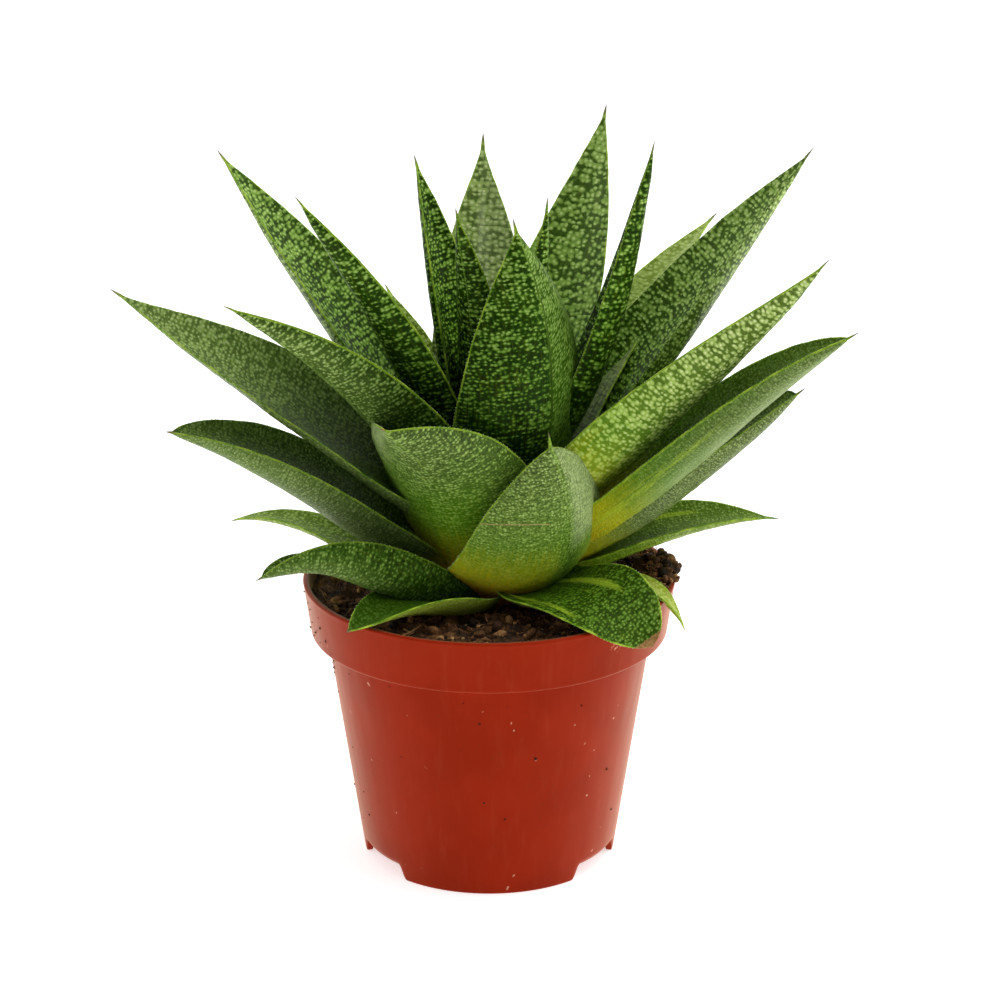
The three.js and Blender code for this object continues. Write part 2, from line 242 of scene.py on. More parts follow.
def shape(name, points, faces, materials, slots=None, fields=None, smooth=True):
    """A mesh object from millimetre points and lists of faces (an array, or a list of arrays)."""
    faces = faces if isinstance(faces, list) else [faces]
    mesh = bpy.data.meshes.new(name)
    sizes = np.concatenate([np.full(len(f), f.shape[1]) for f in faces])
    corners = np.concatenate([f.ravel() for f in faces]).astype(np.int32)
    starts = np.concatenate([[0], np.cumsum(sizes)[:-1]]).astype(np.int32)
    mesh.vertices.add(len(points))
    mesh.vertices.foreach_set("co", (np.asarray(points) * MM).astype(np.float32).ravel())
    mesh.loops.add(len(corners))
    mesh.loops.foreach_set("vertex_index", corners)
    mesh.polygons.add(len(sizes))
    mesh.polygons.foreach_set("loop_start", starts)
    mesh.polygons.foreach_set("loop_total", sizes.astype(np.int32))
    if slots is not None:
        mesh.polygons.foreach_set("material_index", np.asarray(slots, np.int32))
    mesh.polygons.foreach_set("use_smooth", np.full(len(sizes), smooth))
    for key, values in (fields or {}).items():
        values = np.asarray(values, np.float32)
        kind = "FLOAT_VECTOR" if values.ndim == 2 else "FLOAT"
        mesh.attributes.new(key, kind, "POINT").data.foreach_set(
            "vector" if values.ndim == 2 else "value", values.ravel())
    mesh.update(calc_edges=True)
    mesh.validate()
    for m in materials:
        mesh.materials.append(m)
    piece = bpy.data.objects.new(name, mesh)
    scene.collection.objects.link(piece)
    return piece


def lattice(rows, cols, wrap=False):
    """Quads over a rows x cols grid of points, closed round the columns if wrap."""
    i = np.arange(rows - 1)[:, None]
    j = np.arange(cols if wrap else cols - 1)[None, :]
    k = (j + 1) % cols
    return np.stack([i * cols + j, i * cols + k, (i + 1) * cols + k, (i + 1) * cols + j], -1).reshape(-1, 4)


def ease(x):
    x = np.clip(x, 0, 1)
    return x * x * (3 - 2 * x)


def lerp(a, b, k):
    return a + (b - a) * k


def ripple(x, y, seed):
    """Smooth noise of about -1..1 with cells one unit wide."""
    rng = np.random.default_rng(seed)
    grid = rng.uniform(-1, 1, (64, 64))
    xi, yi = np.floor(x).astype(int), np.floor(y).astype(int)
    fx, fy = ease(x - xi), ease(y - yi)
    g = lambda a, b: grid[a % 64, b % 64]
    return lerp(lerp(g(xi, yi), g(xi + 1, yi), fx), lerp(g(xi, yi + 1), g(xi + 1, yi + 1), fx), fy)


def fan(centre, first, count, turned=False):
    """Triangles from one point to the ring of count points that starts at first."""
    j = np.arange(count)
    k = (j + 1) % count
    j, k = (k, j) if turned else (j, k)
    return np.stack([np.full(count, centre), first + j, first + k], -1)


def revolve(r, z, angles):
    """Points round the pot's axis."""
    return np.stack(np.broadcast_arrays(r * np.cos(angles), r * np.sin(angles), z), -1)


def circle(count):
    return np.linspace(0, 2 * pi, count, endpoint=False)


# ---- materials

def leaf_material():
    g = Graph("leaf_skin")
    sx, sy, scar = g.parts(g.attribute("spots"))       # spacings across and along, mm to a scratch
    edge, along, keel = g.parts(g.attribute("where"))  # mm from the margin, 0-1, mm from the keel
    cover, contrast, warm = g.parts(g.attribute("look"))
    pale, stripe, brown = g.parts(g.attribute("tint"))
    lightness, chalk, fade = g.parts(g.attribute("mood"))
    soft, painted_shade, bloom_and_sheen = g.parts(g.attribute("air"))    # blurred spots, painted shade on the ground, and a white bloom partly painted sheen
    tipward = g.step(along, 0.35, 0.95)
    bx, by, _ = g.parts(g.warp(g.vector(sx, sy), 0.45, 0.9))

    # spots: nearly even dots that run together in chains across the blade
    chain = g.noise(g.vector(0.30 * bx, 1.05 * by, 5.0), 1.0) - 0.5
    band = g.noise(g.vector(0.10 * bx, 0.26 * by, 3.0), 1.5) - 0.5
    oval = g.vector(0.86 * bx, 1.06 * by)
    near = g.cells(oval, random=0.75)
    tint = g.parts(g.cells(oval, random=0.75, output="Color"))[0]
    size = 1.45 * chain + 0.55 * band + 0.12 * (tint - 0.5)
    size = size + (0.44 * cover + (0.04 * tipward + 0.165))
    gone = near - size
    spot = g.step(gone, 0.17, -0.20)
    # each spot's raised middle: a dome in the relief and a painted highlight in the colour
    dome_and_glint = g.step(near, 0.40, 0.06) * g.step(gone, 0.05, -0.25)
    halo = g.step(gone, 0.40, 0.0)
    small = g.cells(g.vector(bx + 7.3, by + 3.1), scale=2.1)
    fleck = g.step(small - 0.9 * size, 0.14, -0.14)
    marks = g.math("MAXIMUM", spot, 0.16 * fleck)
    blur = g.noise(g.vector(0.8 * bx, 1.35 * by, 9.0), 3.0, 0.65)
    marks = g.blend(0.8 * soft, marks, g.step(blur, 0.38, 0.64))

    # the green between the spots, and the spots
    cloud = g.noise(g.vector(0.09 * sx, 0.07 * sy, 1.0), 3.0)
    deep = g.mix(g.step(cloud, 0.3, 0.7), rgb(5, 18, 3), rgb(13, 40, 2))
    lightness = g.math("ADD", lightness, 0.10 * tipward, clamp=True)
    ground = g.mix(lightness, deep, rgb(64, 102, 8))
    ground = g.mix(0.5 * halo, ground, rgb(36, 80, 2))
    chalk = g.math("ADD", chalk, 0.25 * tipward, clamp=True)
    ground = g.mix(0.5 * g.step(chalk, 0.3, 1.0), ground, rgb(92, 112, 56))
    # painted shade: a darker, greyer ground where the leaf lies in shade
    ground = g.mix(0.7 * painted_shade, ground, rgb(54, 64, 38))
    ground = g.mix(0.85 * fade, ground, rgb(86, 142, 2))
    light = g.mix(chalk, rgb(92, 146, 14), rgb(160, 188, 98))
    # painted highlight: the spots' middles lighter, as the lit tops of tubercles
    glint_colour = g.mix(chalk, rgb(168, 212, 76), rgb(226, 236, 176))
    light = g.mix(dome_and_glint * (0.7 * tint + 0.3), light, glint_colour)
    light = g.mix(0.7 * fade, light, rgb(166, 206, 60))
    marks = marks * (contrast * (-0.3 * fade + 1.0))
    skin = g.mix(marks, ground, light)
    # fine lengthwise lines, most where the pattern gives way
    line = g.noise(g.vector(2.4 * sx, 0.10 * sy, 8.0))
    skin = g.mix(g.step(line, 0.52, 0.72) * (0.12 * fade + 0.08), skin, rgb(156, 192, 76))
    # the foot yellows, and browns where it leaves the stem
    streak = g.noise(g.vector(1.3 * sx, 0.12 * sy, 2.0), 3.0)
    uneven = streak - 0.5
    foot = warm + 0.5 * uneven
    yellow = g.mix(0.6 * marks, rgb(196, 186, 12), rgb(226, 214, 70))
    skin = g.mix(0.85 * g.step(foot, 0.0, 0.7), skin, yellow)
    skin = g.mix(g.step(foot, 0.4, 0.9), skin, rgb(214, 128, 44))
    # a paler leaf, and yellow streaks along it
    skin = g.mix(0.7 * pale, skin, g.mix(0.7 * marks, rgb(146, 170, 46), rgb(208, 218, 124)))
    lines = g.step(stripe + 0.9 * uneven, 0.30, 0.85)
    skin = g.mix(0.7 * lines, skin, rgb(166, 194, 52))
    # a white bloom, partly painted sheen, broken into lengthwise streaks
    skin = g.mix(bloom_and_sheen * g.step(streak, 0.3, 0.7, 0.3, 1.0), skin, rgb(190, 204, 150))
    # the keel, with a painted highlight along its ridge, and the margin
    keel_highlight = g.step(keel, 0.4, 0.05) * tipward
    skin = g.mix(0.4 * keel_highlight, skin, rgb(140, 184, 60))
    fresh = g.step(g.noise(g.vector(0.25 * sy, 0.0, 4.0)), 0.35, 0.65)
    rim = g.mix(fresh, rgb(92, 148, 14), rgb(184, 214, 66))
    skin = g.mix(g.step(edge, 0.34, 0.02) * g.blend(fresh, 0.6, 0.95), skin, rim)
    # the horny point, dead tissue, and an old scratch
    skin = g.mix(g.step(along, 0.968, 0.995), skin, rgb(120, 108, 84))
    dead = g.mix(g.noise(g.vector(sx, sy, 6.0), 4.0, scale=1.4), rgb(74, 40, 18), rgb(204, 160, 100))
    skin = g.mix(g.step(brown + 0.6 * uneven, 0.35, 0.6), skin, dead)
    scratch = g.step(g.math("ABSOLUTE", scar) + 0.5 * (line - 0.5), 0.27, 0.08)
    skin = g.mix(0.75 * scratch, skin, rgb(196, 168, 112))

    grain = g.noise(g.vector(5.0 * sx, 5.0 * sy))
    height = 0.6 * spot + 0.5 * dome_and_glint + 0.12 * grain + scratch
    return g.finish(skin, g.blend(marks, 0.36, 0.44), g.bump(height, 0.2), Specular_IOR_Level=0.07,
                    Specular_Tint=(0.8, 1.0, 0.4, 1.0))


def tooth_material():
    g = Graph("leaf_teeth")
    tone = g.noise(g.place(0.3))
    return g.finish(g.mix(tone, rgb(176, 192, 120), rgb(222, 226, 190)), 0.42, Specular_IOR_Level=0.5)


RUBBED = (40.0, -43.4, 87.0)       # the middle of the rubbed place on the collar, in mm
COLLAR_SLOPE = 0.1333              # how much the inside of the collar widens with height
INNER_SHADE_R, INNER_SHADE_FADE = 46.0, 0.7      # just outside that face, taken down its slope to the ground


def pot_material():
    g = Graph("pot_plastic")
    p = g.place()
    x, y, z = g.parts(p)
    cloud = g.noise(g.place(0.045), 3.0)
    base = g.mix(g.step(cloud, 0.3, 0.7), rgb(144, 29, 2), rgb(154, 33, 5))
    # drawn streaks up the wall, tiny scuffs and specks of dust
    drawn = g.noise(g.vector(0.35 * x, 0.35 * y, 0.03 * z), 3.0)
    base = g.mix(0.05 * g.step(drawn, 0.5, 0.8), base, rgb(206, 112, 84))
    grit = g.cells(g.warp(g.place(0.16), 0.6, 1.4), dims="3D")
    scuff = g.step(grit, 0.085, 0.045) * g.step(g.noise(g.place(0.05)), 0.46, 0.62)
    base = g.mix(0.75 * scuff, base, rgb(226, 170, 140))
    dust = g.step(g.cells(g.place(0.5), dims="3D"), 0.15, 0.07)
    dusty = g.step(g.noise(g.place(0.03)), 0.4, 0.6)
    base = g.mix(0.6 * (dust * dusty), base, rgb(88, 40, 26))
    # painted shade on the inner wall of the collar, above the soil
    wall = g.vector_math("LENGTH", g.vector(x, y), output="Value") + -COLLAR_SLOPE * z
    inside = g.step(wall, INNER_SHADE_R + INNER_SHADE_FADE, INNER_SHADE_R) * g.step(z, 77.8, 78.4)
    base = g.mix(0.8 * inside, base, rgb(40, 19, 9))
    # a rubbed place on the collar
    far = g.vector_math("DISTANCE", p, RUBBED, output="Value")
    rubbed = g.step(far, 3.2, 1.2) * g.step(g.noise(g.place(0.9), 3.0), 0.52, 0.62)
    base = g.mix(0.75 * rubbed, base, rgb(222, 160, 132))
    grain = g.noise(g.place(2.2))
    wave = g.noise(g.vector(0.06 * x, 0.06 * y, 0.02 * z))
    normal = g.bump(wave, 0.5, g.bump(0.5 * grain + scuff, 0.035))
    rough = 0.1 * cloud + (0.3 * scuff + 0.27)
    return g.finish(base, rough, normal, Specular_IOR_Level=0.05, Specular_Tint=(1.0, 0.78, 0.56, 1.0),
                    IOR=1.49, Sheen_Weight=0.5, Sheen_Roughness=0.4, Sheen_Tint=(1.0, 0.66, 0.36, 1.0))


PEAT = [(0.0, (26, 15, 8)), (0.22, (72, 45, 24)), (0.45, (130, 88, 50)), (0.7, (198, 148, 92)),
        (1.0, (240, 208, 156))]
PEBBLE = [(0.0, (96, 66, 34)), (0.5, (158, 116, 62)), (1.0, (206, 176, 124))]


def soil_material(name, stops):
    """Earthy grains. stops: the colours from the darkest tone, 0, to the lightest, 1."""
    g = Graph(name)
    grain = g.noise(g.place(1.1), 5.0, 0.7)
    ramp = g.node("ShaderNodeValToRGB")
    colour = g.wire(ramp, {0: 0.75 * g.attribute("tone", "Fac") + 0.7 * (grain - 0.5)})
    elements = ramp.color_ramp.elements
    for at, _ in stops[1:-1]:
        elements.new(at)
    for element, (at, shade) in zip(elements, stops):
        element.position, element.color = at, rgb(*shade)
    return g.finish(colour, 0.85, g.bump(grain, 0.5), Specular_IOR_Level=0.3)


def stem_material():
    g = Graph("stem_skin")
    x, y, z = g.parts(g.place())
    rings = g.noise(g.vector(0.15 * x, 0.15 * y, 0.9 * z), 3.0)
    low = g.mix(rings, rgb(130, 92, 46), rgb(150, 140, 62))
    high = g.mix(rings, rgb(96, 128, 38), rgb(150, 170, 70))
    return g.finish(g.mix(g.step(z, 96.0, 118.0), low, high), 0.6, g.bump(rings, 0.4), Specular_IOR_Level=0.3)


leaf_skin, leaf_teeth = leaf_material(), tooth_material()
pot_plastic, peat, stem_skin = pot_material(), soil_material("peat", PEAT), stem_material()

# ---- leaves

# The leaves' driving dimensions, as in the part, by the leaf's number: azimuth,
# height of the foot, rise there, reach and height of the tip, rise at the tip,
# sway, width, width of the foot as a part of it, thickness, arc of the section,
# roll at foot and tip, fullness, bluntness. In mm and degrees.
KEYS = "azimuth base_z rise reach tip_z tip_rise sway width foot thick curl roll twist full blunt".split()
LEAVES = {
    1: (309, 89, 22, 71.7, 89.5, -50, 7.5, 35, 0.4, 5, 40, 0, 24, 4.0, 0.6),
    2: (245, 86, 14, 62, 93, -35, -20, 33, 0.8, 4, 60, 0, 4, 3.2, 0.8),
    3: (232, 85, 12, 76, 107, -34, -33, 30, 1.05, 6, 110, 12, 26, 4.0, 0.6),
    4: (165, 89, 2, 88, 104, -22, 0, 22, 0.5, 3, 50, 0, 0, 3.0, 1.0),
    5: (348, 90, 10, 66.5, 85, -62, -14, 18, 0.5, 4, 40, 0, 0, 3.0, 1.0),
    6: (12, 89, 20, 94, 110, -6, -11, 30, 0.5, 5, 70, 0, 8, 3.4, 1.0),
    7: (92, 89, 20, 58, 96, -38, 0, 32, 0.5, 5, 60, 0, 0, 4.0, 0.6),
    8: (129, 89, 14, 55, 93, -30, 0, 24, 0.5, 4, 60, 0, 0, 4.0, 0.6),
    9: (52, 89, 20, 70, 98, -30, 0, 26, 0.5, 5, 60, 0, 0, 3.6, 0.8),
    10: (307.5, 88, 34, 40, 155, 92, -7.5, 60, 0.72, 7, 75, 0, 0, 3.8, 0.8),
    11: (239, 89, 66, 64, 162.5, 28, 0, 66, 0.7, 6, 105, 0, 8, 4.0, 1.0),
    12: (188, 91, 36, 103, 149, 14, 4, 40, 0.55, 8, 100, 0, -4, 3.8, 0.7),
    13: (5, 91, 30, 100, 158, 42, -10, 36, 0.6, 7, 100, 0, 0, 3.8, 0.55),
    14: (358, 92, 34, 116, 181, 34, -12, 44, 0.55, 7, 105, -6, -4, 4.4, 0.8),
    15: (70, 92, 38, 56, 154, 84, 0, 40, 0.5, 7, 80, 0, 0, 4.2, 0.8),
    16: (40, 91, 30, 78, 130, 20, 0, 26, 0.5, 6, 90, 0, 0, 3.8, 0.9),
    17: (142, 91, 36, 80, 130, 20, 0, 30, 0.5, 6, 90, 0, 0, 3.8, 0.9),
    18: (195, 101, 68, 88, 196, 30, 15, 54, 0.5, 7, 90, 12, 16, 2.6, 1.0),
    19: (356, 95, 58, 106.5, 204, 50, -6, 60, 0.65, 8, 90, -14, -20, 2.6, 1.0),
    20: (175, 98, 55, 117.5, 192.3, 38, 17, 46, 0.55, 6, 60, -6, -18, 3.4, 1.2),
    21: (116, 98, 44, 54, 160, 70, 0, 36, 0.5, 7, 80, 0, 0, 3.8, 0.9),
    22: (13, 103, 50, 103, 232, 54, -8, 54, 0.5, 6, 90, 0, 0, 3.2, 1.0),
    23: (38, 96, 62, 95, 199, 34, 0, 32, 0.5, 5, 60, 0, 0, 3.4, 1.0),
    24: (309, 106, 62, 18, 218, 108, -5, 55, 0.5, 7, 75, 0, 0, 4.4, 1.1),
    25: (200, 110, 75, 65, 228, 54, 6, 32, 0.5, 7, 80, 0, 6, 3.4, 1.0),
    26: (162, 106, 62, 91, 228, 52, 0, 38, 0.5, 6, 70, 0, -8, 3.4, 1.0),
    27: (130, 97, 58, 53, 180, 45, 0, 24, 0.5, 5, 60, 0, 0, 3.6, 1.0),
    28: (56, 107, 68, 68, 236, 74, 0, 43, 0.5, 6, 60, 0, 0, 2.9, 1.0),
    29: (98, 113, 75, 42, 230, 78, -4, 37, 0.5, 6, 60, 0, 0, 3.6, 1.2),
    30: (2, 114, 52, 51, 240, 80, -8, 30, 0.5, 6, 90, 0, -8, 3.4, 1.0),
    31: (142, 110, 84, 30, 229, 74, 0, 25, 0.5, 5, 90, 0, 0, 3.8, 1.0),
    32: (230, 114, 90, 16, 220, 76, 0, 24, 0.5, 5, 80, 0, 0, 3.6, 1.0),
    33: (330, 116, 86, 21, 223, 88, 0, 20, 0.5, 4, 60, 0, 0, 3.6, 1.0),
}

# How each leaf looks:
# up, low: spacing of its spots in mm on the upper and lower face
# keel: place of the keel across the lower face, from -1 to 1
# cover, contrast: how much the spots cover, and how much they stand out
# ground, chalk: how light the green between them is, and how chalky they are
# dim, fade, blush: how far up the pattern dims, pales and yellows
# pale, lit, glow: a paler blade, upper face, lower face
# stripe: yellow streaks
# beyond, finer: how much more the spots cover past the keel, and how much finer they are there
# rim: how bright its margin is
# shade: how far up the other leaves shade it
# soft, bloom_and_sheen: how blurred its spots are, and its white bloom, partly painted sheen
# belly_sheen: how much paler the faces that look down are, a painted sheen from the bright floor
# point: length of its horny point in mm
LOOK = dict(up=1.6, low=1.4, keel=0.15, cover=0.5, contrast=0.85, ground=0.2, chalk=0.3, dim=0.6, fade=0.0,
            blush=0.2, pale=0.0, lit=0.0, glow=0.0, stripe=0.0, beyond=0.0, finer=1.0, rim=0.5, shade=0.0,
            soft=0.0, bloom_and_sheen=0.0, belly_sheen=1.0, point=4.0)
LOOKS = {
    1: dict(up=1.2, low=1.1, cover=0.4, contrast=0.6, ground=0.1, chalk=0.0, lit=0.03, glow=0.7, stripe=1.0,
            rim=0.9, soft=0.2, belly_sheen=0.4, point=0.5),
    2: dict(up=1.2, low=1.2, cover=0.4, contrast=0.4, ground=0.5, chalk=0.0, glow=1.2, stripe=0.6, rim=1.0,
            soft=0.4, belly_sheen=0.15, point=1.0),
    3: dict(up=1.2, low=1.1, cover=0.24, contrast=0.55, ground=0.08, chalk=0.2, blush=0.1, soft=0.4,
            belly_sheen=0.6, point=2.0),
    4: dict(up=1.4, low=1.2, ground=0.8, chalk=0.1, pale=0.45, stripe=0.5, rim=1.0, point=3.0),
    5: dict(up=1.4, low=1.2, ground=0.9, chalk=0.0, fade=1.7, blush=1.5, pale=1.0, lit=0.3, glow=0.5,
            stripe=0.8, rim=1.0, point=3.0),
    6: dict(up=1.2, low=1.1, cover=0.4, contrast=0.45, ground=0.75, chalk=0.25, dim=0.0, fade=0.7,
            blush=0.35, lit=0.25, glow=0.5, stripe=1.2, rim=1.0, belly_sheen=0.4),
    10: dict(up=1.2, low=0.95, keel=0.1, cover=0.39, contrast=0.82, ground=0.05, chalk=0.5, dim=0.0,
             fade=0.95, blush=0.56, beyond=0.05, rim=0.9, soft=0.6, belly_sheen=0.4, point=5.0),
    11: dict(up=1.2, low=1.1, keel=0.1, cover=0.42, contrast=0.66, ground=0.08, chalk=0.25, dim=0.0,
             fade=0.8, blush=0.4, rim=0.9, soft=0.4, belly_sheen=0.4, point=4.5),
    12: dict(up=1.2, low=0.95, keel=0.1, cover=0.35, contrast=0.5, chalk=0.5, rim=0.6, soft=0.6, bloom_and_sheen=0.1,
             point=2.0),
    13: dict(up=1.2, low=0.95, cover=0.3, contrast=0.6, ground=0.1, chalk=0.5, fade=0.4, blush=0.42,
             soft=0.7, bloom_and_sheen=0.08, point=3.5),
    14: dict(up=1.2, low=0.95, keel=-0.2, contrast=0.4, ground=0.4, chalk=0.35, dim=0.0, fade=0.7,
             blush=0.48, lit=0.1, stripe=0.8, rim=0.9, soft=0.8, bloom_and_sheen=0.12),
    18: dict(low=1.2, keel=0.1, cover=0.3, contrast=0.7, ground=0.03, dim=0.95, rim=1.0, belly_sheen=0.6),
    19: dict(low=1.55, keel=-0.1, cover=0.58, contrast=1.05, ground=0.25, chalk=0.8, dim=0.0, fade=0.85,
             blush=0.45, pale=0.12, rim=0.9),
    20: dict(up=1.5, low=1.2, cover=0.54, contrast=0.62, ground=0.25, chalk=0.65, dim=0.8, soft=0.3,
             bloom_and_sheen=0.1),
    22: dict(up=1.75, low=1.7, cover=0.58, ground=0.3, chalk=0.42, rim=0.0, shade=0.4, belly_sheen=0.7),
    23: dict(up=1.75, low=1.6, cover=0.72, contrast=0.75, ground=0.6, chalk=0.8, dim=1.4, pale=0.6,
             stripe=0.5, rim=1.0, shade=0.62, bloom_and_sheen=0.4),
    24: dict(low=1.36, keel=0.1, cover=0.22, contrast=0.75, ground=0.0, chalk=0.15, dim=1.15, beyond=0.44,
             finer=1.3, rim=0.9, belly_sheen=0.2),
    25: dict(up=1.4, keel=0.1, cover=0.2, contrast=0.8, ground=0.0, chalk=0.1, dim=0.8, rim=0.8, belly_sheen=0.3),
    26: dict(up=1.7, low=1.65, cover=0.52, ground=0.12, chalk=0.25, rim=0.8),
    27: dict(low=1.3, cover=0.7, chalk=0.6, pale=0.5),
    28: dict(up=2.0, low=2.0, cover=0.62, contrast=1.0, ground=0.36, chalk=0.35, dim=0.2, bloom_and_sheen=0.08,
             belly_sheen=0.6),
    29: dict(up=1.9, low=1.9, cover=0.7, contrast=0.95, ground=0.6, chalk=0.95, dim=0.0, bloom_and_sheen=0.25),
    30: dict(up=1.75, low=1.7, cover=0.22, contrast=0.8, ground=0.0, chalk=0.1, dim=0.8, rim=0.3,
             belly_sheen=0.3),
    31: dict(up=1.5, low=1.5, cover=0.4, ground=0.0, chalk=0.1, dim=0.7, rim=0.7, belly_sheen=0.5),
    32: dict(up=1.35, low=1.35, cover=0.22, contrast=0.8, ground=0.0, chalk=0.1, rim=0.7, belly_sheen=0.2),
    33: dict(up=1.35, low=1.35, cover=0.26, ground=0.0, chalk=0.1, belly_sheen=0.2),
}

# sizes in mm, angles in degrees
STEM_LOW, STEM_TOP, STEM_R, STEM_TOP_R = 88.0, 122.0, 11.0, 3.0
FOOT_SINK = 2.0                 # how deep a leaf's foot stands in the stem
PULL = 0.38                     # how far a midrib keeps its first and last direction, as a part of its span
GRID = 0.93                     # width of a face on a leaf
TIP_T = 0.9995                  # the last section, just short of the point where it shrinks to nothing
ABOVE, BELOW = 0.2, 0.8         # how much of a leaf's thickness lies above and below its middle surface
MARGIN = 0.55                   # thickness of the rounded margin
BEAD = 3                        # points round it
CLASP = 130.0                   # arc of a leaf's section at its foot
HORN_R = 0.42                   # half width of the horny point
NO_MARK = 9.0                   # a distance at which a scratch or a keel doesn't show
SCAR_AT = 48.0                  # how far up its leaf the scratch runs
WITHERED = {1: 0.94, 11: 0.955, 12: 0.97, 25: 0.97}     # where dead tissue starts on these leaves
# teeth on the two margins and the keel (0): where they start up the leaf, and their spacing
TEETH = {-1: (0.16, 1.15), 1: (0.16, 1.15), 0: (0.62, 1.5)}
TEETH_END = 0.965
TOOTH_AT, TOOTH_SINK = 0.42, 0.12   # how far out on the margin a tooth stands, and how deep in it
RIM_MID, RIM_CLEAR = 59.0, 94.3     # middle of the rim's top, and the height that clears it
OVER_RIM = 1.1                  # how much a leaf that lies over the rim is raised there


def stem_radius(z):
    return lerp(STEM_R, STEM_TOP_R, np.clip((z - STEM_LOW) / (STEM_TOP - STEM_LOW), 0, 1) ** 1.2)


def unit(v):
    return v / np.maximum(np.linalg.norm(v, axis=-1, keepdims=True), 1e-9)


def turn(v, axis, angle):
    c, s = np.cos(angle)[:, None], np.sin(angle)[:, None]
    return v * c + np.cross(axis, v) * s + axis * (v * axis).sum(1, keepdims=True) * (1 - c)


def midrib(L, t):
    """Points of the midrib and the section's directions there: along, across, up."""
    az = radians(L["azimuth"])
    out, side, up = np.array([cos(az), sin(az), 0]), np.array([-sin(az), cos(az), 0]), np.array([0, 0, 1.0])
    r0 = stem_radius(L["base_z"]) - FOOT_SINK
    a, d = np.array([r0, L["base_z"]]), np.array([L["reach"], L["tip_z"]])
    pull = PULL * np.hypot(*(d - a))
    b = a + pull * np.array([cos(radians(L["rise"])), sin(radians(L["rise"]))])
    c = d - pull * np.array([cos(radians(L["tip_rise"])), sin(radians(L["tip_rise"]))])

    def at(t):
        t = t[:, None]
        rz = (1 - t) ** 3 * a + 3 * (1 - t) ** 2 * t * b + 3 * (1 - t) * t * t * c + t ** 3 * d
        return rz[:, :1] * out + rz[:, 1:] * up + L["sway"] * t * t * side

    along = unit(at(t + 1e-3) - at(t - 1e-3))
    across = unit(side - along * (along @ side)[:, None])
    angle = np.radians(lerp(L["roll"], L["twist"], ease(t)))
    normal = np.cross(along, across)
    return at(t), along, turn(across, along, angle), turn(normal, along, angle)


def outline(L, look, t, mm, total, number):
    """Half width, arc, depth and lip of the section at each station."""
    end = 1 - look["point"] / total
    tb = np.clip(t / end, 0, 1)
    blade = 0.5 * L["width"] * lerp(L["foot"], 1, ease(t / 0.28))
    blade = blade * np.clip(1 - tb ** L["full"], 0, 1) ** L["blunt"]
    horn = HORN_R * np.clip((1 - t) / max(1 - end, 1e-3), 0, 1) ** 0.75
    half = np.sqrt(blade ** 2 + horn ** 2)
    half = half * (1 + 0.012 * ripple(mm / 9, number, 7)) + 0.10 * ripple(mm / 2.6, number, 8) * (blade > 3)
    arc = np.radians(lerp(CLASP, L["curl"], ease(t / 0.35)))
    depth = L["thick"] * lerp(0.45, 1, ease(t / 0.4)) * np.clip(1 - tb ** 2.6, 0, 1) ** 0.8
    return half, arc, depth, np.minimum(MARGIN, 1.5 * half)


def band(x, middle, width):
    return np.exp(-((x - middle) / width) ** 2)


def rise(x, start, over):
    """0 up to start, 1 from start + over on."""
    return ease((x - start) / over)


def fall(x, end, over):
    """1 up to end - over, 0 from end on."""
    return ease((end - x) / over)


def upto(t, height):
    """1 at the foot, 0 from that height on."""
    return ease(1 - t / max(height, 0.01))


def own_marks(leaf, under, U, t, mm, bloom_and_sheen):
    """What single leaves show: mm to a scratch, painted shade on the ground, a white bloom partly painted
    sheen, and along the leaf a greener stripe and a whiter painted highlight, a greener half of the foot, and
    fewer spots."""
    scar, painted_shade, green, white, cool, fewer = NO_MARK, 0.0, 0.0, 0.0, 0.0, 0.0
    if leaf == 10:
        scar = np.where(under & (U < -0.12), mm - SCAR_AT + 0.7 + 7.7 * U + 6.2 * U * U, NO_MARK)
        green = under * band(U, 0.22, 0.16) * fall(t, 0.62, 0.15)
        # painted highlight: the right part of the lower face whiter, as lit by the light at the right
        white = under * rise(U, 0.12, 0.15) * rise(t, 0.42, 0.12) * fall(t, 1.0, 0.12)
        cool = 0.55 * rise(U, -0.1, 0.35)
        # painted shade on the left of the lower face, away from the light at the right
        painted_shade = under * rise(t, 0.42, 0.12) * fall(U, 0.15, 0.2)
        bloom_and_sheen, fewer = 0.38 * white, 0.2 * painted_shade
    elif leaf == 11:
        # painted shade where leaf 10 shades it
        painted_shade = under * np.maximum(0.8 * rise(t, 0.45, 0.2) * rise(U, -0.3, 0.4), rise(U, 0.35, 0.3))
        bloom_and_sheen, fewer = 0.45 * under * rise(t, 0.6, 0.2) * fall(U, -0.35, 0.3), 0.2 * painted_shade
    elif leaf == 12:
        # painted shade low on the lower face
        painted_shade = 0.55 * under * fall(t, 0.75, 0.3)
        bloom_and_sheen = 0.3 * under * band(U, -0.1, 0.3) * rise(t, 0.3, 0.2)
    elif leaf == 13:
        # painted shade over most of the lower face, painted sheen along its lower edge
        painted_shade = 0.95 * under * fall(U, 0.25, 0.2) * rise(t, 0.3, 0.15)
        bloom_and_sheen = 0.4 * under * rise(U, 0.15, 0.15) * rise(t, 0.3, 0.2)
    elif leaf == 14:
        # painted shade along a crease and the lower edge, painted sheen along the middle
        painted_shade = under * (0.7 * band(U, -0.78, 0.13) + 0.75 * rise(U, 0.05, 0.3)) * rise(t, 0.2, 0.2)
        bloom_and_sheen = 0.4 * under * band(U, -0.35, 0.22) * rise(t, 0.3, 0.2)
    elif leaf == 29:
        bloom_and_sheen = bloom_and_sheen + 0.6 * band(U, 0, 0.16) * fall(t, 0.92, 0.15)
    return scar, painted_shade, bloom_and_sheen, green, white, cool, fewer


def field(*values):
    """Three values at every point, as the rows of a vector attribute."""
    return np.stack(np.broadcast_arrays(*values), -1).reshape(-1, 3)


